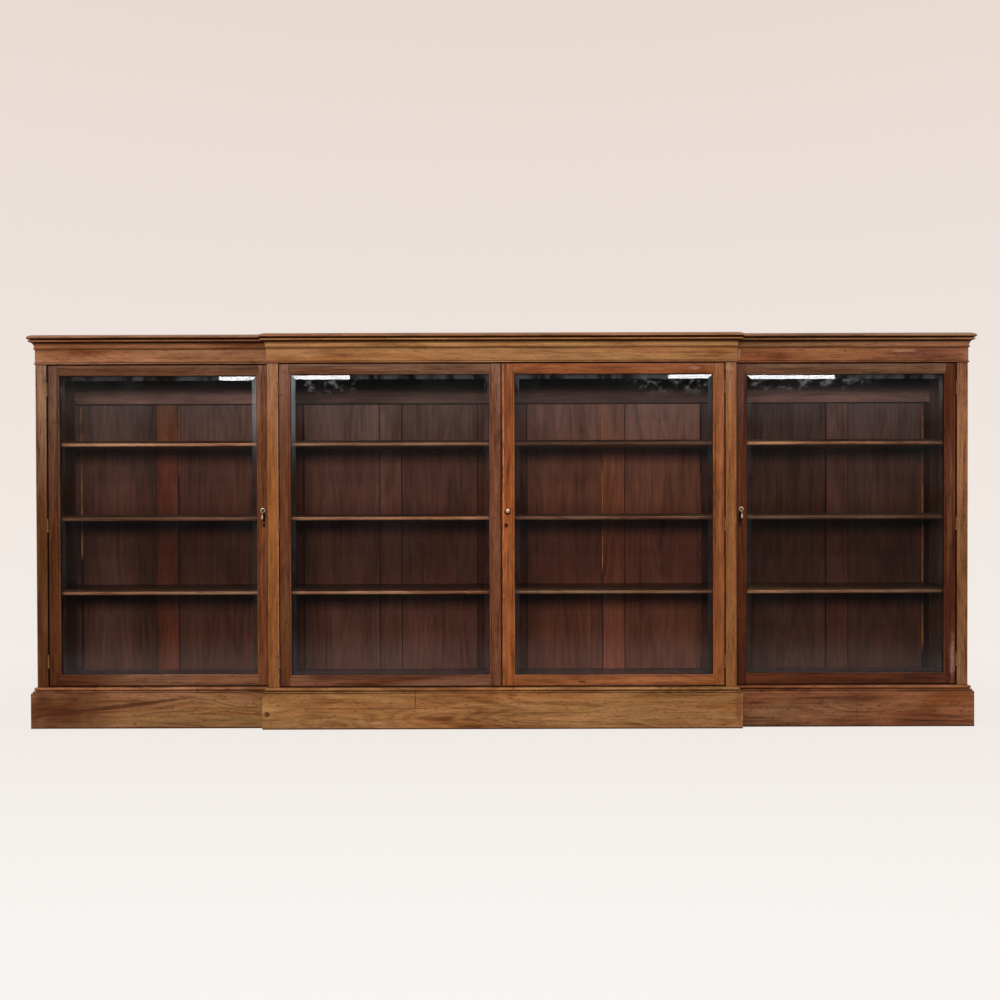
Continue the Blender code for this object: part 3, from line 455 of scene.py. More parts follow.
def markMask(tree, axis, oval):
    turn = math.radians(oval["turn"])
    right, rise = axis["x"] - oval["at"][0], axis["z"] - oval["at"][1]
    along = (right * math.cos(turn) + rise * math.sin(turn)) / oval["half"][0]
    wide = (rise * math.cos(turn) - right * math.sin(turn)) / oval["half"][1]
    reach = (along * along + wide * wide) ** 0.5
    if oval["rag"]:
        patch = tree.noise(tree.place(), (oval["grit"],) * 3, roughness=0.6)
        reach = reach + (patch - 0.5) * oval["rag"] * 2
    inner = markEdges["soft" if oval["soft"] else "hard"]
    return ((1 - reach.smooth(inner, markEdges["outer"])) * oval["share"]).clamped()


def wood(
    name, finish, along, seed, shade=1.0, contrast=1.0, cloudy=1.0, flecks=0.6, gloss=0.42, fade=0.0,
    fadeAndLightOver=None, runs=None, dirtAndShadeLines=(), wear=(), marks=(), toneAndShadeBands=(), rings=0.25, shadedInside=None,
):
    s = woodSettings
    tree = Shader(name)
    place = tree.place()
    axis = dict(zip("xyz", tree.split(place)))
    offset = tuple(seed * shift for shift in s["seedShift"])
    tone, toneFaded = (times(toLinear(colour), shade) for colour in finishes[finish])
    base, pale = tone, toneFaded
    if runs:  # the wings' boards differ from the centre's, and meet them on the mitre
        wing = (abs(axis["x"]) + axis["y"].least(s["mitreBack"])).over(s["mitre"])
        for side, mask in (("left", wing * axis["x"].under(0)), ("right", wing * axis["x"].over(0))):
            kind, level, strength = runs[side]
            contrast = mask * (strength - 1) * contrast + contrast
            wingTone, wingFaded = (times(toLinear(colour), level) for colour in finishes[kind])
            base = tree.mix(mask, base, wingTone)
            pale = tree.mix(mask, pale, wingFaded)
        place = tree.shifted(place, *(wing * shift for shift in s["wingShift"]))
    long, wide, reach = s["waver"]
    drift = (tree.noise(place, grainScale(along, long, wide), offset, 1.0) - 0.5) * reach
    moved = tree.shifted(place, drift, drift, drift)

    def layer(kind):
        long, wide, noise = grainLayers[kind]
        return tree.noise(moved, grainScale(along, long, wide), offset, *noise)

    def marked(colour, soft):
        for oval in marks:
            if oval["soft"] == soft:
                colour = tree.mix(markMask(tree, axis, oval), colour, toLinear(oval["colour"]))
        return colour

    cloud, ribbon, fibre = layer("cloud"), layer("ribbon"), layer("fibre")
    ring = (layer("rings") * s["ringTurns"]).maths("SINE")
    # Paler up the height of a board: painted light from above, partly fading; across a rail it is a change of
    # tone
    if fadeAndLightOver:
        letter, low, high = fadeAndLightOver
        share = axis[letter].smooth(low, high) + (cloud - 0.5) * s["fadePatchy"] + fade
        colour = tree.mix(share, base, pale)
    elif fade or runs:
        colour = tree.mix((cloud - s["patchMiddle"]) * s["patchStrength"] + fade, base, pale)
    else:
        colour = base
    colour = marked(colour, True)
    byCloud, byRibbon, byFibre, byRing, byAll = s["weights"]
    figure = (cloud - 0.5) * byCloud * cloudy + (ribbon - 0.5) * byRibbon + (fibre - 0.5) * byFibre
    figure = ((figure + ring * byRing * rings) * contrast * byAll + 0.5).clamped()
    colour = tree.mix(1.0, colour, tree.ramp(figure, s["figure"]), "MULTIPLY")
    colour = tree.mix(s["hueShare"], colour, tree.ramp(layer("hue"), s["hues"]), "MULTIPLY")
    colour = tree.brighter(colour, s["gain"])
    drawn = layer("pencil").smooth(*s["pencil"]["edge"]) * s["pencil"]["share"] * contrast
    colour = tree.mix(drawn.clamped(), colour, times(tone, s["pencil"]["tint"]))
    pores = (layer("fleck").smooth(*s["pores"]["edge"]) * flecks).clamped()
    colour = tree.mix(pores * s["pores"]["share"], colour, times(tone, s["pores"]["tint"]))
    # Painted highlight where a moulding swells, painted shade where it's hollow or behind a shelf's lip, and
    # a darker foot on one stile
    edge = s["bandEdge"]
    for letter, low, high, level in toneAndShadeBands:
        band = axis[letter].smooth(low - edge, low + edge)
        band = band * (1 - axis[letter].smooth(high - edge, high + edge))
        tint = tuple(level ** power for power in s["bandPowers"])
        colour = tree.mix(band, colour, tint, "MULTIPLY")
    if shadedInside:  # a face that shows only inside the case is darkened: painted shade
        inside = axis["x"].over(shadedInside[0]) * axis["x"].under(shadedInside[1]) * axis["y"].over(s["insideShadeFrom"])
        colour = tree.mix(inside, colour, s["insideShade"], "MULTIPLY")
    for letter, at, reach, share in wear:
        rubbed = tree.noise(place, s["wear"]["grain"], offset, 3.0, 0.65)
        worn = axis["y"].under(s["wear"]["before"]) * axis[letter].near(at, reach) * rubbed
        worn = (worn.smooth(*s["wear"]["edge"]) * share).clamped()
        colour = tree.mix(worn, colour, times(toneFaded, s["wear"]["tint"]))
    # Dark lines along quirks, gaps, joints and the foot: grime and painted shade
    if dirtAndShadeLines:
        soilAndShade = strongest([axis[letter].near(at, reach) * share for letter, at, reach, share in dirtAndShadeLines])
        colour = tree.mix(soilAndShade, colour, times(tone, s["soilAndShade"]))
    colour = marked(colour, False)
    byRibbon, byCloud, byPore = s["rough"]
    roughness = (ribbon - 0.5) * byRibbon + (cloud - 0.5) * byCloud + gloss + pores * byPore
    byFibre, byRibbon, byPencil = s["relief"]
    height = fibre * byFibre + ribbon * byRibbon - pores - drawn * byPencil
    return tree.surface(colour, roughness, height, s["bump"], s["polish"])


brassSettings = {
    "tarnishGrain": (160, 160, 160), "brushGrain": (900, 900, 2600), "tarnish": (0.4, 0.66),
    "tarnishTint": (0.34, 0.27, 0.2), "tarnishMetal": 0.7, "tarnishRough": 0.28, "brushRough": 0.08,
    "relief": (0.6, 0.4), "bump": (0.00006, 0.5),
    "hollowTone": (38, 22, 12), "hollowShare": 0.9, "hollowInner": (0.8, 1.2), "hollowOuter": (0.85, 1.1),
}


def brass(name, tone, dull, gloss, metal, hollows=()):
    # A hollow is a ring that stays dark: its middle across and up, and its two radii
    s = brassSettings
    tree = Shader(name)
    place = tree.place()
    x, _, z = tree.split(place)
    tarnish = tree.noise(place, s["tarnishGrain"], detail=4.0, roughness=0.65)
    brushed = tree.noise(place, s["brushGrain"], detail=1.0)
    share = tarnish.smooth(*s["tarnish"])
    colour = tree.mix(share * dull, toLinear(tone), times(toLinear(tone), s["tarnishTint"]))
    for across, up, inner, outer in hollows:
        away = ((x - across) * (x - across) + (z - up) * (z - up)) ** 0.5
        inside = away.smooth(*(inner * edge for edge in s["hollowInner"]))
        ring = inside * (1 - away.smooth(*(outer * edge for edge in s["hollowOuter"])))
        colour = tree.mix(ring * s["hollowShare"], colour, toLinear(s["hollowTone"]))
    roughness = share * s["tarnishRough"] + gloss + (brushed - 0.5) * s["brushRough"]
    height = tarnish * s["relief"][0] + brushed * s["relief"][1]
    metallic = (metal - share * dull * s["tarnishMetal"]).clamped()
    return tree.surface(colour, roughness, height, s["bump"], {"Metallic": metallic})


# Clear old plate: a mirror's share of the room, a bloom of dust, and ground bevels that catch the light, with
# a
# painted reflection: a greyer veil high on the side bevels by the left breakfront
glassSettings = {
    "clear": (0.95, 0.962, 0.958), "haze": (0.66, 0.68, 0.72), "mirror": (0.97, 0.985, 1.0),
    "mirrorRough": 0.012, "glancePower": 5, "glanceGain": 0.9, "leastMirror": 0.045,
    "dustGrain": (5, 5, 3.2), "dust": (0.42, 0.8), "high": (1.12, 1.31), "highDust": 1.5, "leastDust": 0.2,
    "wipedGrain": (26, 26, 9), "wiped": (0.5, 0.9), "wipedShare": 0.5, "groundWiped": (0.35, 0.62),
    "groundLow": 0.25, "bevelSlope": 0.05,
    "paintedShine": 8, "paintedShineAcross": (-0.845, 0.125), "paintedShineUp": (0.9, 1.24), "paintedShinePatches": (0.6, 0.2),
}


def plateGlass(name, bloom, ground=0.0):
    s = glassSettings
    tree = Shader(name)
    place = tree.place()
    x, _, z = tree.split(place)
    dust = tree.noise(place, s["dustGrain"], detail=5.0, roughness=0.62, distortion=0.8)
    wiped = tree.noise(place, s["wipedGrain"], detail=3.0, roughness=0.6)
    clear = tree.add("BsdfTransparent", {}, {"Color": s["clear"]})
    mirrored = {"Color": s["mirror"], "Roughness": s["mirrorRough"]}
    mirror = tree.add("BsdfAnisotropic", {}, mirrored)
    haze = tree.add("BsdfDiffuse", {}, {"Color": s["haze"]})
    glance = tree.add("LayerWeight", {}, {"Blend": 0.5}, "Facing")
    glance = (glance ** s["glancePower"] * s["glanceGain"] + s["leastMirror"]).clamped()
    body = tree.add("MixShader", {}, [glance, clear, mirror])
    high = z.smooth(*s["high"])
    veil = dust.smooth(*s["dust"]) * (bloom + high * bloom * s["highDust"])
    veil = veil + wiped.smooth(*s["wiped"]) * bloom * s["wipedShare"] + bloom * s["leastDust"]
    if ground:
        veil = veil + (high + s["groundLow"]) * ground * wiped.smooth(*s["groundWiped"])
        # A greyer veil on the bevels by the left breakfront, high up: a painted reflection
        patchy, least = s["paintedShinePatches"]
        paintedShine = x.near(*s["paintedShineAcross"]) * z.smooth(*s["paintedShineUp"]) * (wiped * patchy + least).clamped()
        veil = veil + paintedShine * ground * s["paintedShine"]
    return tree.finish(tree.add("MixShader", {}, [veil.clamped(), body, haze]))


bays = {
    "left_wing": {"ends": (-1.6792, -0.865), "hingeLow": True, "face": -0.145},
    "centre_left": {"ends": (-0.8187, -0.0042), "hingeLow": True, "face": -0.176},
    "centre_right": {"ends": (0.0042, 0.8187), "hingeLow": False, "face": -0.176},
    "right_wing": {"ends": (0.865, 1.6792), "hingeLow": False, "face": -0.145},
}
bodyOf = {node: body for body, carried in frame["record"]["behaviour"]["bodies"].items() for node in carried}


def dress(node, material, width=0.0, smoothAngle=35, leastLong=0.006):
    # A copy of the piece with its arrises eased, which stands for the piece
    bm = mergedCopy(node)
    if width:
        softenEdges(bm, width, leastLong)
    piece = makePiece(f"{node}.dressed", bm, [material], bodyOf[node], smoothAngle)
    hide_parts(node)


# The case: finish, the grain's way, seed and look. Runs: each wing's finish, level and contrast.
# Lines of grime and painted shade in quirks, gaps and joints: axis, place, reach and strength. Bands, a
# painted
# highlight where a moulding swells and painted shade where it's hollow: axis, from, to and level. Wear of an
# edge:
# axis, place, reach and strength
caseBoards = {
    "side_left": ("brown", "z", 1.0, {
        "fadeAndLightOver": ("z", 0.72, 1.22), "contrast": 0.9, "gloss": 0.5,
        "wear": [("x", -1.7238, 0.004, 0.5)], "dirtAndShadeLines": [("x", -1.6822, 0.0032, 0.95)],
        "marks": [mark((-1.712, 0.42), (0.006, 0.16), (64, 34, 18), 0.4)],
    }),
    "side_right": ("golden", "z", 2.0, {
        "shade": 0.93, "fade": 0.25, "gloss": 0.5,
        "wear": [("x", 1.7238, 0.004, 0.6)], "dirtAndShadeLines": [("x", 1.6822, 0.0032, 0.95)], "shadedInside": (1.67, 1.7),
    }),
    "stile_left": ("golden", "z", 3.0, {
        "shade": 1.1, "fadeAndLightOver": ("z", 0.95, 1.45), "contrast": 0.75,
        "wear": [("x", -0.8217, 0.004, 0.8)], "dirtAndShadeLines": [("x", -0.8633, 0.003, 0.75)],
    }),
    "stile_right": ("golden", "z", 4.0, {
        "fadeAndLightOver": ("z", 1.15, 1.45), "contrast": 0.75,
        "dirtAndShadeLines": [("x", 0.8633, 0.003, 0.75), ("x", 0.8217, 0.002, 0.7)],
        "marks": [mark((0.834, 1.326), (0.012, 0.013), (172, 126, 96), 0.6, 0.9, 35)],
    }),
    "plinth": ("honey", "xy", 8.0, {
        "contrast": 0.75, "flecks": 0.8, "rings": 0.5,
        "runs": {"left": ("russet", 1.05, 1.0), "right": ("chestnut", 1.22, 1.15)},
        "dirtAndShadeLines": [
            ("z", 0.1376, 0.002, 0.35), ("z", 0.1306, 0.0022, 0.3), ("z", 0.1518, 0.0016, 0.7),
            ("z", 0.001, 0.005, 0.85),
        ],
        "toneAndShadeBands": [("z", 0.144, 0.15, 1.12)],
        "marks": [
            stain((-1.622, 0.068), (0.23, 0.11), (90, 46, 19), 0.9, 14),
            mark((-1.445, 0.078), (0.3, 0.0075), (84, 42, 18), rag=0.7, turn=7, grit=12),
            stain((-1.02, 0.05), (0.33, 0.08), (166, 118, 70), 1.0, 12),
            stain((-1.32, 0.036), (0.2, 0.05), (160, 112, 64), 0.8, 14),
            mark((-0.41, 0.0765), (0.33, 0.0013), (82, 48, 26), 0.75, 0.25),
            stain((-0.23, 0.05), (0.16, 0.06), (166, 114, 70), 0.8, 14),
            mark((0.18, 0.06), (0.21, 0.0011), (92, 56, 30), 0.5, 0.3),
            mark((-0.32, 0.1056), (0.0018, 0.04), (74, 42, 22), rag=0.2),
            mark((-0.864, 0.056), (0.011, 0.012), (66, 36, 20), turn=30),
            mark((0.866, 0.085), (0.012, 0.06), (118, 70, 42), 0.6),
            stain((1.098, 0.042), (0.26, 0.055), (170, 114, 78), 1.0, 16, 5),
            stain((1.0, 0.058), (0.08, 0.045), (150, 102, 72), 0.9, 26, 20),
            stain((1.264, 0.1), (0.13, 0.02), (96, 52, 34), 0.6, 26, -4),
            mark((1.308, 0.066), (0.0014, 0.06), (70, 38, 24), 0.45, 0.2),
            stain((1.64, 0.105), (0.15, 0.04), (124, 64, 24), 0.8, 14, 8),
            stain((1.56, 0.04), (0.16, 0.05), (112, 60, 34), 0.8, 14),
        ],
    }),
    "frieze": ("honey", "xy", 9.0, {
        "fade": 0.1, "shade": 1.1, "contrast": 0.8,
        "runs": {"left": ("russet", 1.34, 1.0), "right": ("chestnut", 1.62, 1.15)},
        "dirtAndShadeLines": [("z", 1.3518, 0.0024, 0.7), ("z", 1.345, 0.002, 0.95), ("z", 1.3998, 0.0018, 0.55)],
        "marks": [
            stain((-1.377, 1.374), (0.15, 0.008), (168, 112, 72), 0.55, 26),
            stain((-1.062, 1.389), (0.11, 0.009), (170, 124, 94), 0.6, 26),
            stain((-1.525, 1.385), (0.11, 0.01), (134, 72, 44), 0.55, 26),
            stain((-0.75, 1.375), (0.09, 0.022), (176, 130, 90), 0.6, 24),
            mark((0.877, 1.38), (0.006, 0.022), (196, 146, 116), 0.75, 0.9),
            stain((1.583, 1.379), (0.17, 0.03), (122, 66, 48), 0.8, 18),
            stain((1.02, 1.37), (0.04, 0.016), (112, 50, 30), 0.7, 26),
            stain((1.213, 1.385), (0.13, 0.012), (168, 112, 70), 0.7, 26),
            stain((1.48, 1.388), (0.06, 0.008), (184, 136, 104), 0.8, 26),
        ],
    }),
    "cornice_moulding": ("honey", "xy", 10.0, {
        "contrast": 0.7, "runs": {"left": ("russet", 0.95, 1.0), "right": ("russet", 0.92, 1.2)},
        "dirtAndShadeLines": [("z", 1.436, 0.0034, 0.95), ("z", 1.4248, 0.0034, 0.95), ("z", 1.403, 0.0022, 0.5)],
        "toneAndShadeBands": [("z", 1.4195, 1.4256, 0.5), ("z", 1.4062, 1.416, 1.32), ("z", 1.4285, 1.432, 1.3)],
    }),
    "top_board": ("golden", "x", 11.0, {
        "contrast": 0.9, "gloss": 0.38, "cloudy": 0.7, "flecks": 0.4,
        "runs": {"left": ("russet", 0.9, 1.0), "right": ("russet", 0.9, 1.2)},
        "dirtAndShadeLines": [("z", 1.4382, 0.0026, 0.95)],
        "toneAndShadeBands": [("z", 1.4415, 1.45, 1.15), ("z", 1.438, 1.4412, 0.72)],
    }),
}
insideBoards = {  # the grain's way, the first seed and the shade
    "partition": ("z", 5.0, 0.8, ("left", "middle", "right")),
    "bottom": ("x", 12.0, 0.7, ("left", "centre", "right")),
    "ceiling": ("x", 15.0, 0.4, ("left", "centre", "right")),
}

for node, (finish, along, seed, look) in caseBoards.items():
    dress(node, wood(node, finish, along, seed, **look), easing["case"])
for kind, (along, seed, shade, sides) in insideBoards.items():
    for step, side in enumerate(sides):
        node = f"{kind}_{side}"
        dress(node, wood(node, "inside", along, seed + step, shade), easing["inside"])
print("case boards dressed")

# Panels and uprights of the back, each its own tone between dark joints, under one long rail. Up the height
# the back is painted darker low down, and the rail's tone darkens to a painted shadow under the top
backSettings = {
    "boardToneAndShade": (  # height and tone, darker low down: painted shade
        (0.17, (104, 60, 44)), (0.45, (94, 53, 39)), (0.58, (82, 44, 32)), (0.76, (84, 45, 33)),
        (0.84, (106, 62, 47)), (1.02, (108, 66, 53)), (1.1, (120, 84, 74)), (1.22, (122, 86, 77)),
    ),
    # the rail's tone, darkened near the top: painted shadow under the top of the case
    "railToneAndShade": ((1.22, (116, 82, 70)), (1.262, (122, 86, 78)), (1.284, (70, 46, 38)), (1.34, (52, 34, 28))),
    "highest": 1.4, "railFoot": 1.2255, "seedShift": (3.1, 1.7, 2.3), "deep": 3.0,
    "layers": {  # how fine across and along the grain, then detail, roughness and distortion
        "streak": (70.0, 2.4, 4.0, 0.62),
        "cloud": (9.0, 2.2, 3.0, 0.6, 0.6),
        "fibre": (520.0, 12.0, 2.0),
        "fleck": (420.0, 70.0, 1.0),
        "rings": (9.0, 1.3, 1.0, 0.4, 0.3),
    },
    "ringTurns": 60, "weights": (0.8, 1.0, 0.7, 0.07),
    "figure": ((0.05, (0.24, 0.2, 0.18)), (0.5, (0.62, 0.62, 0.62)), (0.95, (1.0, 0.97, 0.95))),
    "gain": 1.62, "pores": {"edge": (0.64, 0.73), "share": 0.5, "tone": (56, 30, 22)},
    "railJoint": 0.0034, "joint": 0.0032, "jointShare": 0.8, "jointTone": (20, 10, 7),
    "gap": {"reach": 0.0026, "foot": 0.02, "head": 0.01, "grain": (3, 3, 16), "edge": (0.34, 0.62),
            "patches": (0.6, 0.4), "tone": (214, 138, 84)},
    "rough": (0.2, 0.55), "relief": (0.5, 0.3), "bump": (0.0003, 0.6), "polish": {"Specular IOR Level": 0.3},
}


def backBoard(name, seed, rail, edges, tintsAndShade, gaps):
    s = backSettings
    tree = Shader(name)
    place = tree.place()
    x, _, z = tree.split(place)
    offset = tuple(seed * shift for shift in s["seedShift"])
    top = z.over(s["railFoot"])

    def layer(kind):
        across, along, *detail = s["layers"][kind]
        upright = tree.noise(place, (across, s["deep"], along), offset, *detail)
        level = tree.noise(place, (along, s["deep"], across), offset, *detail)
        return upright * (1 - top) + level * top

    def tonesUp(tones, shade):
        stops = [(at / s["highest"], times(toLinear(tone), shade)) for at, tone in tones]
        return tree.ramp(z / s["highest"], stops)

    streak, cloud, fibre = layer("streak"), layer("cloud"), layer("fibre")
    ring = (layer("rings") * s["ringTurns"]).maths("SINE")
    colour = tonesUp(s["boardToneAndShade"], 1.0)
    joint = z.near(s["railFoot"], s["railJoint"])
    # Each board's own tint, darker at the ends of a bay as painted shade
    for low, high, tint in zip(edges, edges[1:], tintsAndShade):
        inside = x.over(low) * x.under(high)
        colour = tree.mix(inside, colour, tint, "MULTIPLY")
        sides = [x.near(edge, s["joint"]) * s["jointShare"] for edge in (low, high)]
        joint = joint.most(strongest(sides) * (1 - top))
    colour = tree.mix(top, colour, tonesUp(s["railToneAndShade"], rail))
    byStreak, byCloud, byFibre, byRing = s["weights"]
    figure = (streak - 0.5) * byStreak + (cloud - 0.5) * byCloud + (fibre - 0.5) * byFibre
    figure = figure + ring * byRing + 0.5
    colour = tree.mix(1.0, colour, tree.ramp(figure.clamped(), s["figure"]), "MULTIPLY")
    colour = tree.brighter(colour, s["gain"])
    pores = layer("fleck").smooth(*s["pores"]["edge"]) * s["pores"]["share"]
    colour = tree.mix(pores, colour, toLinear(s["pores"]["tone"]))
    colour = tree.mix(joint, colour, toLinear(s["jointTone"]))
    gap = s["gap"]
    patchy, least = gap["patches"]
    for at, low, high, share in gaps:  # light comes through where a panel has shrunk
        glow = x.near(at, gap["reach"]) * z.smooth(low - gap["foot"], low + gap["foot"])
        glow = glow * (1 - z.smooth(high - gap["head"], high + gap["head"]))
        broken = tree.noise(place, gap["grain"], offset, 3.0, 0.6).smooth(*gap["edge"])
        glow = (glow * (broken * patchy + least) * share).clamped()
        colour = tree.mix(glow, colour, toLinear(gap["tone"]))
    height = streak * s["relief"][0] + fibre * s["relief"][1] - joint
    roughness = (streak - 0.5) * s["rough"][0] + s["rough"][1]
    return tree.surface(colour, roughness, height, s["bump"], s["polish"])


# The edges of each back's boards from left to right, and the tint of each board, which also paints shade at
# the ends of each bay; the rail's level lightens or darkens the rail in each bay, partly painted light. A
# gap: place, foot, head and strength
backs = {
    "back_left": {
        "seed": 18.0, "rail": 1.45, "edges": (-1.73, -1.6742, -1.3768, -1.2888, -0.9913, -0.83),
        "tintsAndShade": ((0.92, 1.05, 1.2), (1.12, 1.28, 1.4), (1.25, 0.9, 0.6), (1.0, 1.0, 1.02), (0.72, 0.7, 0.7)),
        "gaps": ((-1.6748, 0.62, 1.22, 1.0), (-1.287, 0.95, 1.22, 0.5)),
    },
    "back_centre": {
        "seed": 19.0, "rail": 0.9,
        "edges": (-0.85, -0.7897, -0.4879, -0.3999, -0.098, 0.098, 0.3999, 0.4879, 0.7897, 0.85),
        "tintsAndShade": (
            (0.8, 0.66, 0.64), (1.05, 1.1, 1.16), (1.15, 1.22, 1.24), (1.18, 1.22, 1.28), (0.85, 0.74, 0.7),
            (1.22, 1.12, 1.02), (2.1, 1.9, 1.6), (1.46, 1.4, 1.3), (0.7, 0.7, 0.76),
        ),
        "gaps": ((0.399, 0.56, 1.22, 0.9), (0.79, 0.2, 0.95, 0.35), (0.345, 0.2, 0.52, 0.35)),
    },
    "back_right": {
        "seed": 20.0, "rail": 1.5, "edges": (0.83, 0.9913, 1.2888, 1.3768, 1.6742, 1.73),
        "tintsAndShade": (
            (0.6, 0.66, 0.74), (0.86, 0.94, 1.02), (0.95, 0.92, 1.0), (0.72, 0.78, 0.88), (0.2, 0.18, 0.18),
        ),
        "gaps": ((1.6745, 0.24, 1.22, 0.9),),
    },
}
for node, look in backs.items():
    dress(node, backBoard(node, **look))

# Shelves: each one's level from the lowest up, which paints the light and shade that falls on it; painted
# shade on the board behind the lip and in the quirk under the lip's fillet; a painted highlight on two
# shelves
shelfSettings = {
    "shades": {
        "left_wing": (1.0, 0.48, 1.45),
        "centre_left": (1.15, 1.2, 0.85),
        "centre_right": (0.72, 0.62, 0.36),
        "right_wing": (0.62, 0.38, 0.95),
    },
    "seeds": (30, 2.3, 0.7), "board": (-0.103, 0.3, 0.24), "fillet": (0.0032, 0.01, 0.5),
    "paintedHighlightAt": (0.96, 0.008), "paintedHighlightHalf": (0.17, 0.1), "paintedHighlightTone": (206, 150, 112),
    "paintedHighlightLevels": (1, 3),
}
for bay, shades in shelfSettings["shades"].items():
    s = shelfSettings
    for level, shade in enumerate(shades, 1):
        node = f"shelf_{bay}_{level}"
        first, byLevel, byName = s["seeds"]
        seed = first + level * byLevel + len(bay) * byName
        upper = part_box(node)[1][2]
        # The top behind the lip and the quirk under its fillet are darkened: painted shade
        front, rear, dark = s["board"]
        below, above, shaded = s["fillet"]
        paintedLipShade = [("y", front, rear, dark / shade), ("z", upper - below, upper + above, shaded)]
        # A soft light patch at the right wing's left end on two shelves: painted highlight
        across, down = s["paintedHighlightAt"]
        paintedHighlight = [mark((across, upper - down), s["paintedHighlightHalf"], s["paintedHighlightTone"], rag=0, soft=True)]
        lit = bay == "right_wing" and level in s["paintedHighlightLevels"]
        board = wood(
            node, "lip", "x", seed, shade, fade=0.3, gloss=0.36, toneAndShadeBands=paintedLipShade, marks=paintedHighlight if lit else ()
        )
        dress(node, board, easing["inside"])
print("back and shelves dressed")

# Doors: two stiles full height with the rails between them, and brass let into the hanging edge
doorSettings = {
    "flat": 0.0355, "stile": 0.044, "rail": 0.041, "bottom": 0.1565, "middle": 0.75, "top": 1.3425,
    "sticking": 0.008, "jointIn": 0.0004, "past": 0.00005, "meeting": 0.01, "leastLong": 0.03,
    "seeds": (40, 4.3, 1.7), "members": ("hinge_stile", "closing_stile", "top_rail", "bottom_rail"),
}
# Dark joints, grime and painted shade along a door's joints, glass edges, quirks and gaps: reach and strength
doorDirtAndShade = {
    "joint": (0.0009, 0.85), "stileJoint": (0.0013, 0.6), "sticking": (0.0012, 0.6),
    "sideSight": (0.0028, 0.85), "topSight": (0.0032, 0.9), "bottomSight": (0.0016, 0.6),
    "hung": (0.003, 0.95), "shut": (0.0016, 0.8), "top": (0.0026, 0.95), "bottom": (0.0018, 0.8),
}
doorLooks = {
    "left_wing": {
        "hinge_stile": {"finish": "umber", "fadeAndLightOver": ("z", 0.66, 1.24)},
        # The dark marks on this stile are a painted shadow of the drop and painted shade round the rosette
        "closing_stile": {"finish": "mauve", "fadeAndLightOver": ("z", 0.98, 1.38), "shade": 1.32, "marks": [
            mark((-0.8806, 0.783), (0.0056, 0.03), (20, 7, 3), 1.0, 0.1),
            mark((-0.8855, 0.8045), (0.0115, 0.0115), (46, 22, 8), 0.9, 0.1)]},
        "top_rail": {"finish": "dun", "fade": 0.12, "shade": 0.92},
        "bottom_rail": {"finish": "earth", "fadeAndLightOver": ("x", -1.6, -1.3)},
    },
    "centre_left": {
        "hinge_stile": {"finish": "mauve", "fadeAndLightOver": ("z", 0.9, 1.42), "shade": 0.97},
        "closing_stile": {"finish": "mauve", "fadeAndLightOver": ("z", 0.9, 1.6), "fade": 0.25},
        "top_rail": {"finish": "dun", "fade": 0.55},
        "bottom_rail": {"finish": "mauve", "fade": 0.1, "shade": 1.05},
    },
    "centre_right": {
        "hinge_stile": {"finish": "orange", "fadeAndLightOver": ("z", 1.05, 1.5), "fade": 0.15, "shade": 1.1},
        # The dark marks on this stile are painted shade round the knob and a darker patch round the keyhole
        "closing_stile": {
            "finish": "orange", "fadeAndLightOver": ("z", 1.05, 1.55), "shade": 1.12,
            "wear": [("x", 0.0052, 0.0042, 1.0)], "marks": [
                mark((0.0206, 0.7975), (0.0125, 0.0125), (50, 16, 6), 1.0, 0.1),
                mark((0.0152, 0.7455), (0.0095, 0.0095), (70, 26, 10), 0.7, 0.2)]},
        "top_rail": {"finish": "orange", "fade": 0.35, "shade": 1.05, "marks": [
            mark((0.709, 1.3234), (0.02, 0.006), (170, 120, 90), 0.6, 0.9)]},
        "bottom_rail": {"finish": "orange", "fade": 0.25, "shade": 0.98, "marks": [
            mark((0.294, 0.1706), (0.014, 0.004), (66, 32, 16)),
            mark((0.625, 0.164), (0.07, 0.006), (92, 48, 28), 0.55)]},
    },
    "right_wing": {
        "hinge_stile": {"finish": "claret", "shade": 1.03, "marks": [
            mark((1.668, 0.25), (0.012, 0.095), (150, 108, 90), rag=0.9, grit=40, soft=True),
            stain((1.661, 0.86), (0.03, 0.26), (116, 68, 44), 0.7, 12),
            stain((1.655, 0.47), (0.03, 0.12), (66, 27, 14), 0.5, 20)]},
        # The dark marks on this stile are a painted shadow of the drop and painted shade round the rosette
        "closing_stile": {
            "finish": "claret", "fadeAndLightOver": ("z", 0.95, 1.6), "shade": 0.95,
            "toneAndShadeBands": [("z", 0.0, 0.4, 0.78)], "marks": [
                mark((0.8816, 0.776), (0.006, 0.03), (14, 6, 4), 1.0, 0.1),
                mark((0.8855, 0.8045), (0.0115, 0.0115), (30, 12, 6), 0.9, 0.1)]},
        "top_rail": {"finish": "dun", "fade": 0.35, "shade": 0.94},
        "bottom_rail": {"finish": "claret", "shade": 0.98, "marks": [
            stain((1.56, 0.175), (0.11, 0.02), (58, 24, 16), 0.6, 20)]},
    },
}
dropHollows = ((-0.8855, 0.8045, 0.0017, 0.0058), (0.8855, 0.8045, 0.0017, 0.0058))
agedBrass = brass("aged brass", (255, 222, 190), 0.18, 0.16, 0.62, dropHollows)
dullBrass = brass("dull brass", (146, 108, 66), 0.6, 0.38, 0.6)
paneGlass = plateGlass("plate glass", 0.0032)
bevelGlass = plateGlass("ground bevel", 0.005, 0.055)


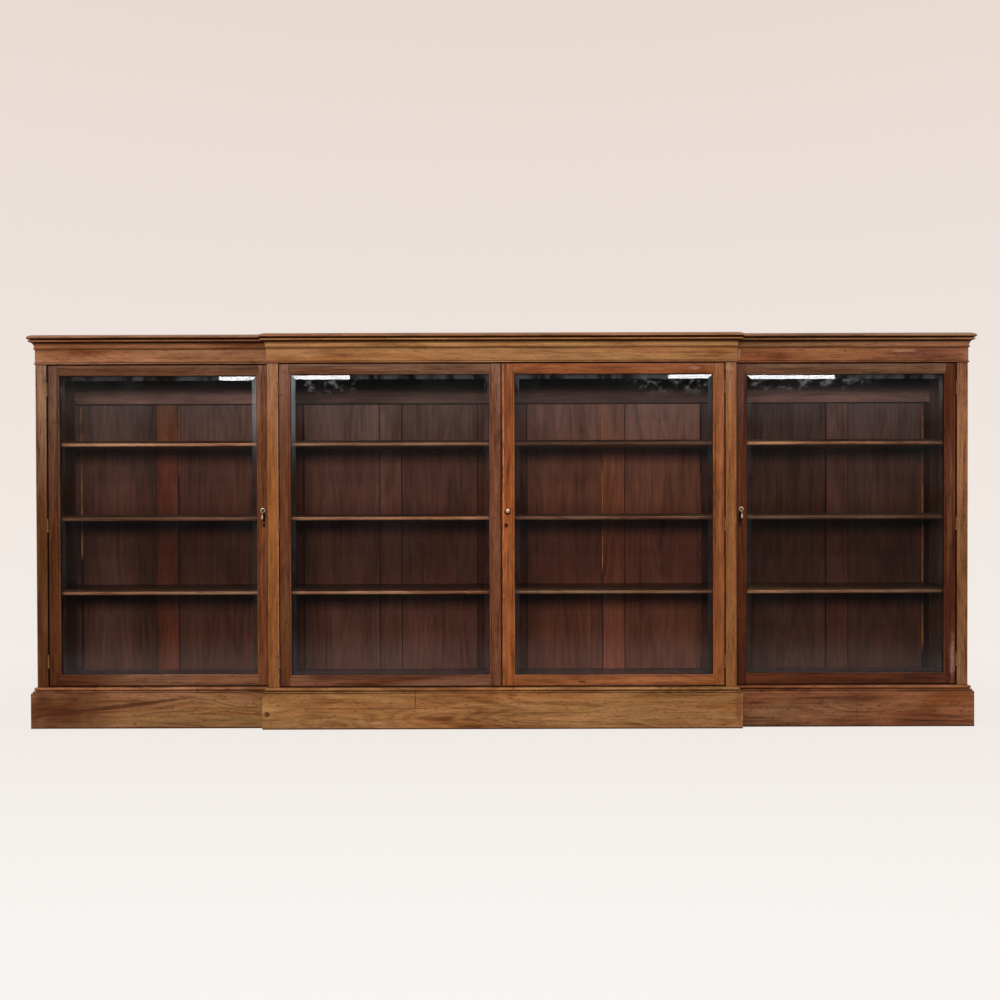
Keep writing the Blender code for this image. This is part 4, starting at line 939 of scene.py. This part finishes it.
def memberOf(centre, ends, hingeLow):
    s = doorSettings
    toSide = min(centre.x - ends[0], ends[1] - centre.x)
    toEnd = min(centre.z - s["bottom"], s["top"] - centre.z)
    onMeetingBead = 0 < ends[0] < s["meeting"] and centre.x < ends[0]
    if toSide < -s["past"] and not onMeetingBead:
        return "leaf"
    if toSide < s["flat"] or toSide - s["stile"] < toEnd - s["rail"]:
        onHinge = (centre.x - ends[0] < ends[1] - centre.x) == hingeLow
        return "hinge_stile" if onHinge else "closing_stile"
    return "top_rail" if centre.z > s["middle"] else "bottom_rail"


def dirtAndShadeOf(bay, member, low, high, hingeLow):
    s, dirtAndShade = doorSettings, doorDirtAndShade
    head, foot = s["top"] - s["rail"], s["bottom"] + s["rail"]
    hung, shut = (low, high) if hingeLow else (high, low)
    ends = [("z", s["top"], *dirtAndShade["top"]), ("z", s["bottom"], *dirtAndShade["bottom"])]
    if "stile" in member:
        soilAndShade = [("x", at, *dirtAndShade["stileJoint"]) for at in (low + s["flat"], high - s["flat"])]
        soilAndShade += [("x", at, *dirtAndShade["sideSight"]) for at in (low + s["stile"], high - s["stile"])]
        soilAndShade.append(("x", hung, *dirtAndShade["hung"]))
        if bay != "centre_right":
            soilAndShade.append(("x", shut, *dirtAndShade["shut"]))
        return soilAndShade + ends
    inset = s["flat"] + s["jointIn"]
    soilAndShade = [("x", at, *dirtAndShade["joint"]) for at in (low + inset, high - inset)]
    soilAndShade += [("z", at, *dirtAndShade["sticking"]) for at in (foot - s["sticking"], head + s["sticking"])]
    return soilAndShade + [("z", head, *dirtAndShade["topSight"]), ("z", foot, *dirtAndShade["bottomSight"])] + ends


def makeDoor(bay, number):
    s = doorSettings
    node = f"door_{bay}"
    low, high = bays[bay]["ends"]
    hingeLow = bays[bay]["hingeLow"]
    bm = mergedCopy(node)
    softenEdges(bm, easing["door"], s["leastLong"])
    for cut in (low + s["flat"], high - s["flat"]):
        geom = bm.verts[:] + bm.edges[:] + bm.faces[:]
        bmesh.ops.bisect_plane(bm, geom=geom, dist=0.000001, plane_co=(cut, 0, 0), plane_no=(1, 0, 0))
    order = (*s["members"], "leaf")
    for face in bm.faces:
        face.material_index = order.index(memberOf(face.calc_center_median(), (low, high), hingeLow))
    materials = []
    first, byDoor, byMember = s["seeds"]
    for place, member in enumerate(s["members"]):
        board = wood(
            f"{bay}_{member}", along="z" if "stile" in member else "x",
            seed=first + number * byDoor + place * byMember,
            dirtAndShadeLines=dirtAndShadeOf(bay, member, low, high, hingeLow), **doorLooks[bay][member],
        )
        materials.append(board)
    piece = makePiece(f"{node}.joined", bm, materials + [dullBrass], bodyOf[node])
    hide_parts(node)


def makePane(bay):
    node = f"glass_{bay}"
    bm = mergedCopy(node)
    for face in bm.faces:
        slope = sorted(abs(value) for value in face.normal)
        face.material_index = int(slope[1] > glassSettings["bevelSlope"])
    piece = makePiece(f"{node}.pane", bm, [paneGlass, bevelGlass], bodyOf[node], 4)
    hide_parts(node)


for number, bay in enumerate(bays):
    makeDoor(bay, number)
    makePane(bay)
print("doors and panes made")

# Butt hinges: five turned knuckles on a pin, with a screwed leaf in the door's edge
hingeSettings = {
    "heights": (0.2465, 0.7495, 1.2525), "tall": 0.05, "barrel": 0.0031, "barrelShare": 0.85,
    "axisProud": 0.0036, "knuckles": 5, "grooveHalf": 0.00022, "grooveDeep": 0.00035, "easeIn": 0.0006,
    "easeAlong": 0.0005, "steps": 24, "leafIn": 0.0011, "screwBack": 0.011,
    "screwRises": (-0.0165, 0.0, 0.0165),
}
screwSettings = {"radius": 0.0026, "proud": 0.0002, "slot": 0.00035, "deep": 0.0006, "steps": 24}


def facesOf(verts):
    return list({face for vert in verts for face in vert.link_faces})


def addScrew(bm, place, axis):
    # A countersunk head with a sawn slot
    s = screwSettings
    before = set(bm.verts)
    bmesh.ops.create_circle(bm, cap_ends=True, segments=s["steps"], radius=s["radius"])
    for shift in (s["slot"], -s["slot"]):
        disc = [vert for vert in bm.verts if vert not in before]
        geom = disc + list({edge for vert in disc for edge in vert.link_edges}) + facesOf(disc)
        bmesh.ops.bisect_plane(bm, geom=geom, dist=0.0000001, plane_co=(shift, 0, 0), plane_no=(1, 0, 0))
    disc = [vert for vert in bm.verts if vert not in before]
    lands = [face for face in facesOf(disc) if abs(face.calc_center_median().x) > s["slot"]]
    raised = bmesh.ops.extrude_face_region(bm, geom=lands)["geom"]
    tops = [item for item in raised if isinstance(item, bmesh.types.BMVert)]
    bmesh.ops.translate(bm, verts=tops, vec=(0, 0, s["deep"]))
    bmesh.ops.delete(bm, geom=lands, context="FACES_ONLY")
    head = [vert for vert in bm.verts if vert not in before]
    turn = Vector((0, 0, 1)).rotation_difference(Vector(axis)).to_matrix().to_4x4()
    sunk = Vector(place) + Vector(axis) * (s["proud"] - s["deep"])
    bmesh.ops.transform(bm, matrix=Matrix.Translation(sunk) @ turn, verts=head)
    bmesh.ops.recalc_face_normals(bm, faces=facesOf(head))


def knuckleProfile(s, middle):
    low = middle - s["tall"] / 2
    high = low + s["tall"]
    step = s["tall"] / s["knuckles"]
    radius, groove = s["barrel"], s["grooveHalf"]
    profile = [(0.0, low), (radius - s["easeIn"], low), (radius, low + s["easeAlong"])]
    for n in range(1, s["knuckles"]):
        at = low + step * n
        profile += [(radius, at - groove), (radius - s["grooveDeep"], at), (radius, at + groove)]
    return profile + [(radius, high - s["easeAlong"]), (radius - s["easeIn"], high), (0.0, high)]


def makeHinges(bay):
    s = hingeSettings
    look = bays[bay]
    inward = 1 if look["hingeLow"] else -1
    edge = look["ends"][0 if look["hingeLow"] else 1]
    for number, middle in enumerate(s["heights"], 1):
        node = f"hinge_{bay}_{number}"
        low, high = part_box(node)
        across, deep = (low[0] + high[0]) / 2, look["face"] - s["axisProud"]
        barrelEnd = deep + s["barrel"] * s["barrelShare"]
        bm = mergedCopy(node)
        rolled = [face for face in bm.faces if face.calc_center_median().y < barrelEnd]
        bmesh.ops.delete(bm, geom=rolled, context="FACES")
        rims = [item for item in bm.edges if item.is_boundary]
        if rims:
            bmesh.ops.holes_fill(bm, edges=rims, sides=0)
        addTurned(bm, knuckleProfile(s, middle), (across, deep, 0), (0, 0, 1), s["steps"])
        piece = makePiece(f"{node}.butt", bm, [dullBrass], bodyOf[node])
        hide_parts(node)
        screws = bmesh.new()
        for rise in s["screwRises"]:
            place = (edge - inward * s["leafIn"], look["face"] + s["screwBack"], middle + rise)
            addScrew(screws, place, (-inward, 0, 0))
        makePiece(f"screws_{bay}_{number}", screws, [agedBrass], bodyOf[f"door_{bay}"])


for bay in bays:
    makeHinges(bay)

# Keyhole plates, let in almost flush. Their section is in shares of the radius and of what stands proud. The
# keyhole is a near-black disc and bar laid on the plate: painted shade standing in for the opening
plateSettings = {
    "places": {"left_wing": -0.881, "centre_right": 0.0152, "right_wing": 0.881}, "height": 0.7485,
    "radius": 0.0062, "proud": 0.0006,
    "section": ((0.0, 0.7), (0.6, 0.8), (0.85, 1.0), (1.0, 0.5), (1.0, -1.0)), "hole": 0.0046,
    "holeUp": 0.0012, "holeSteps": 20, "slot": (0.0026, 0.0066, 0.0008), "clear": 0.0001,
}
# Near-black for the keyhole: painted shade
keyholeShade = brass("keyhole painted shade", (14, 7, 4), 0.2, 0.7, 0.0)
keyBrass = brass("keyhole brass", (112, 74, 44), 0.6, 0.38, 0.5)


def makePlate(bay):
    s = plateSettings
    x, face = s["places"][bay], bays[bay]["face"]
    height, radius, proud = s["height"], s["radius"], s["proud"]
    bm = bmesh.new()
    section = [(radius * across, proud * out) for across, out in s["section"]]
    addTurned(bm, section, (x, face, height), (0, -1, 0))
    before = len(bm.faces)
    floor = proud + s["clear"]
    hole = [(0.0, floor), (s["hole"], floor), (s["hole"], 0.0)]
    addTurned(bm, hole, (x, face, height + s["holeUp"]), (0, -1, 0), s["holeSteps"])
    half, down, up = s["slot"]
    addBlock(bm, (x - half, face - proud - s["clear"], height - down), (x + half, face, height + up))
    for number, item in enumerate(bm.faces):
        item.material_index = int(number >= before)
    makePiece(f"keyhole_{bay}", bm, [keyBrass, keyholeShade], bodyOf[f"door_{bay}"])


for bay in plateSettings["places"]:
    makePlate(bay)

for kind, bay in (("rosette", "left"), ("rosette", "right"), ("drop", "left"), ("drop", "right")):
    dress(f"{kind}_{bay}_wing", agedBrass, smoothAngle=50)
dress("knob_centre_right", agedBrass, smoothAngle=50)
for bay in plateSettings["places"]:
    dress(f"lock_{bay}", dullBrass, easing["lock"], leastLong=0.003)
print("brass fitted")
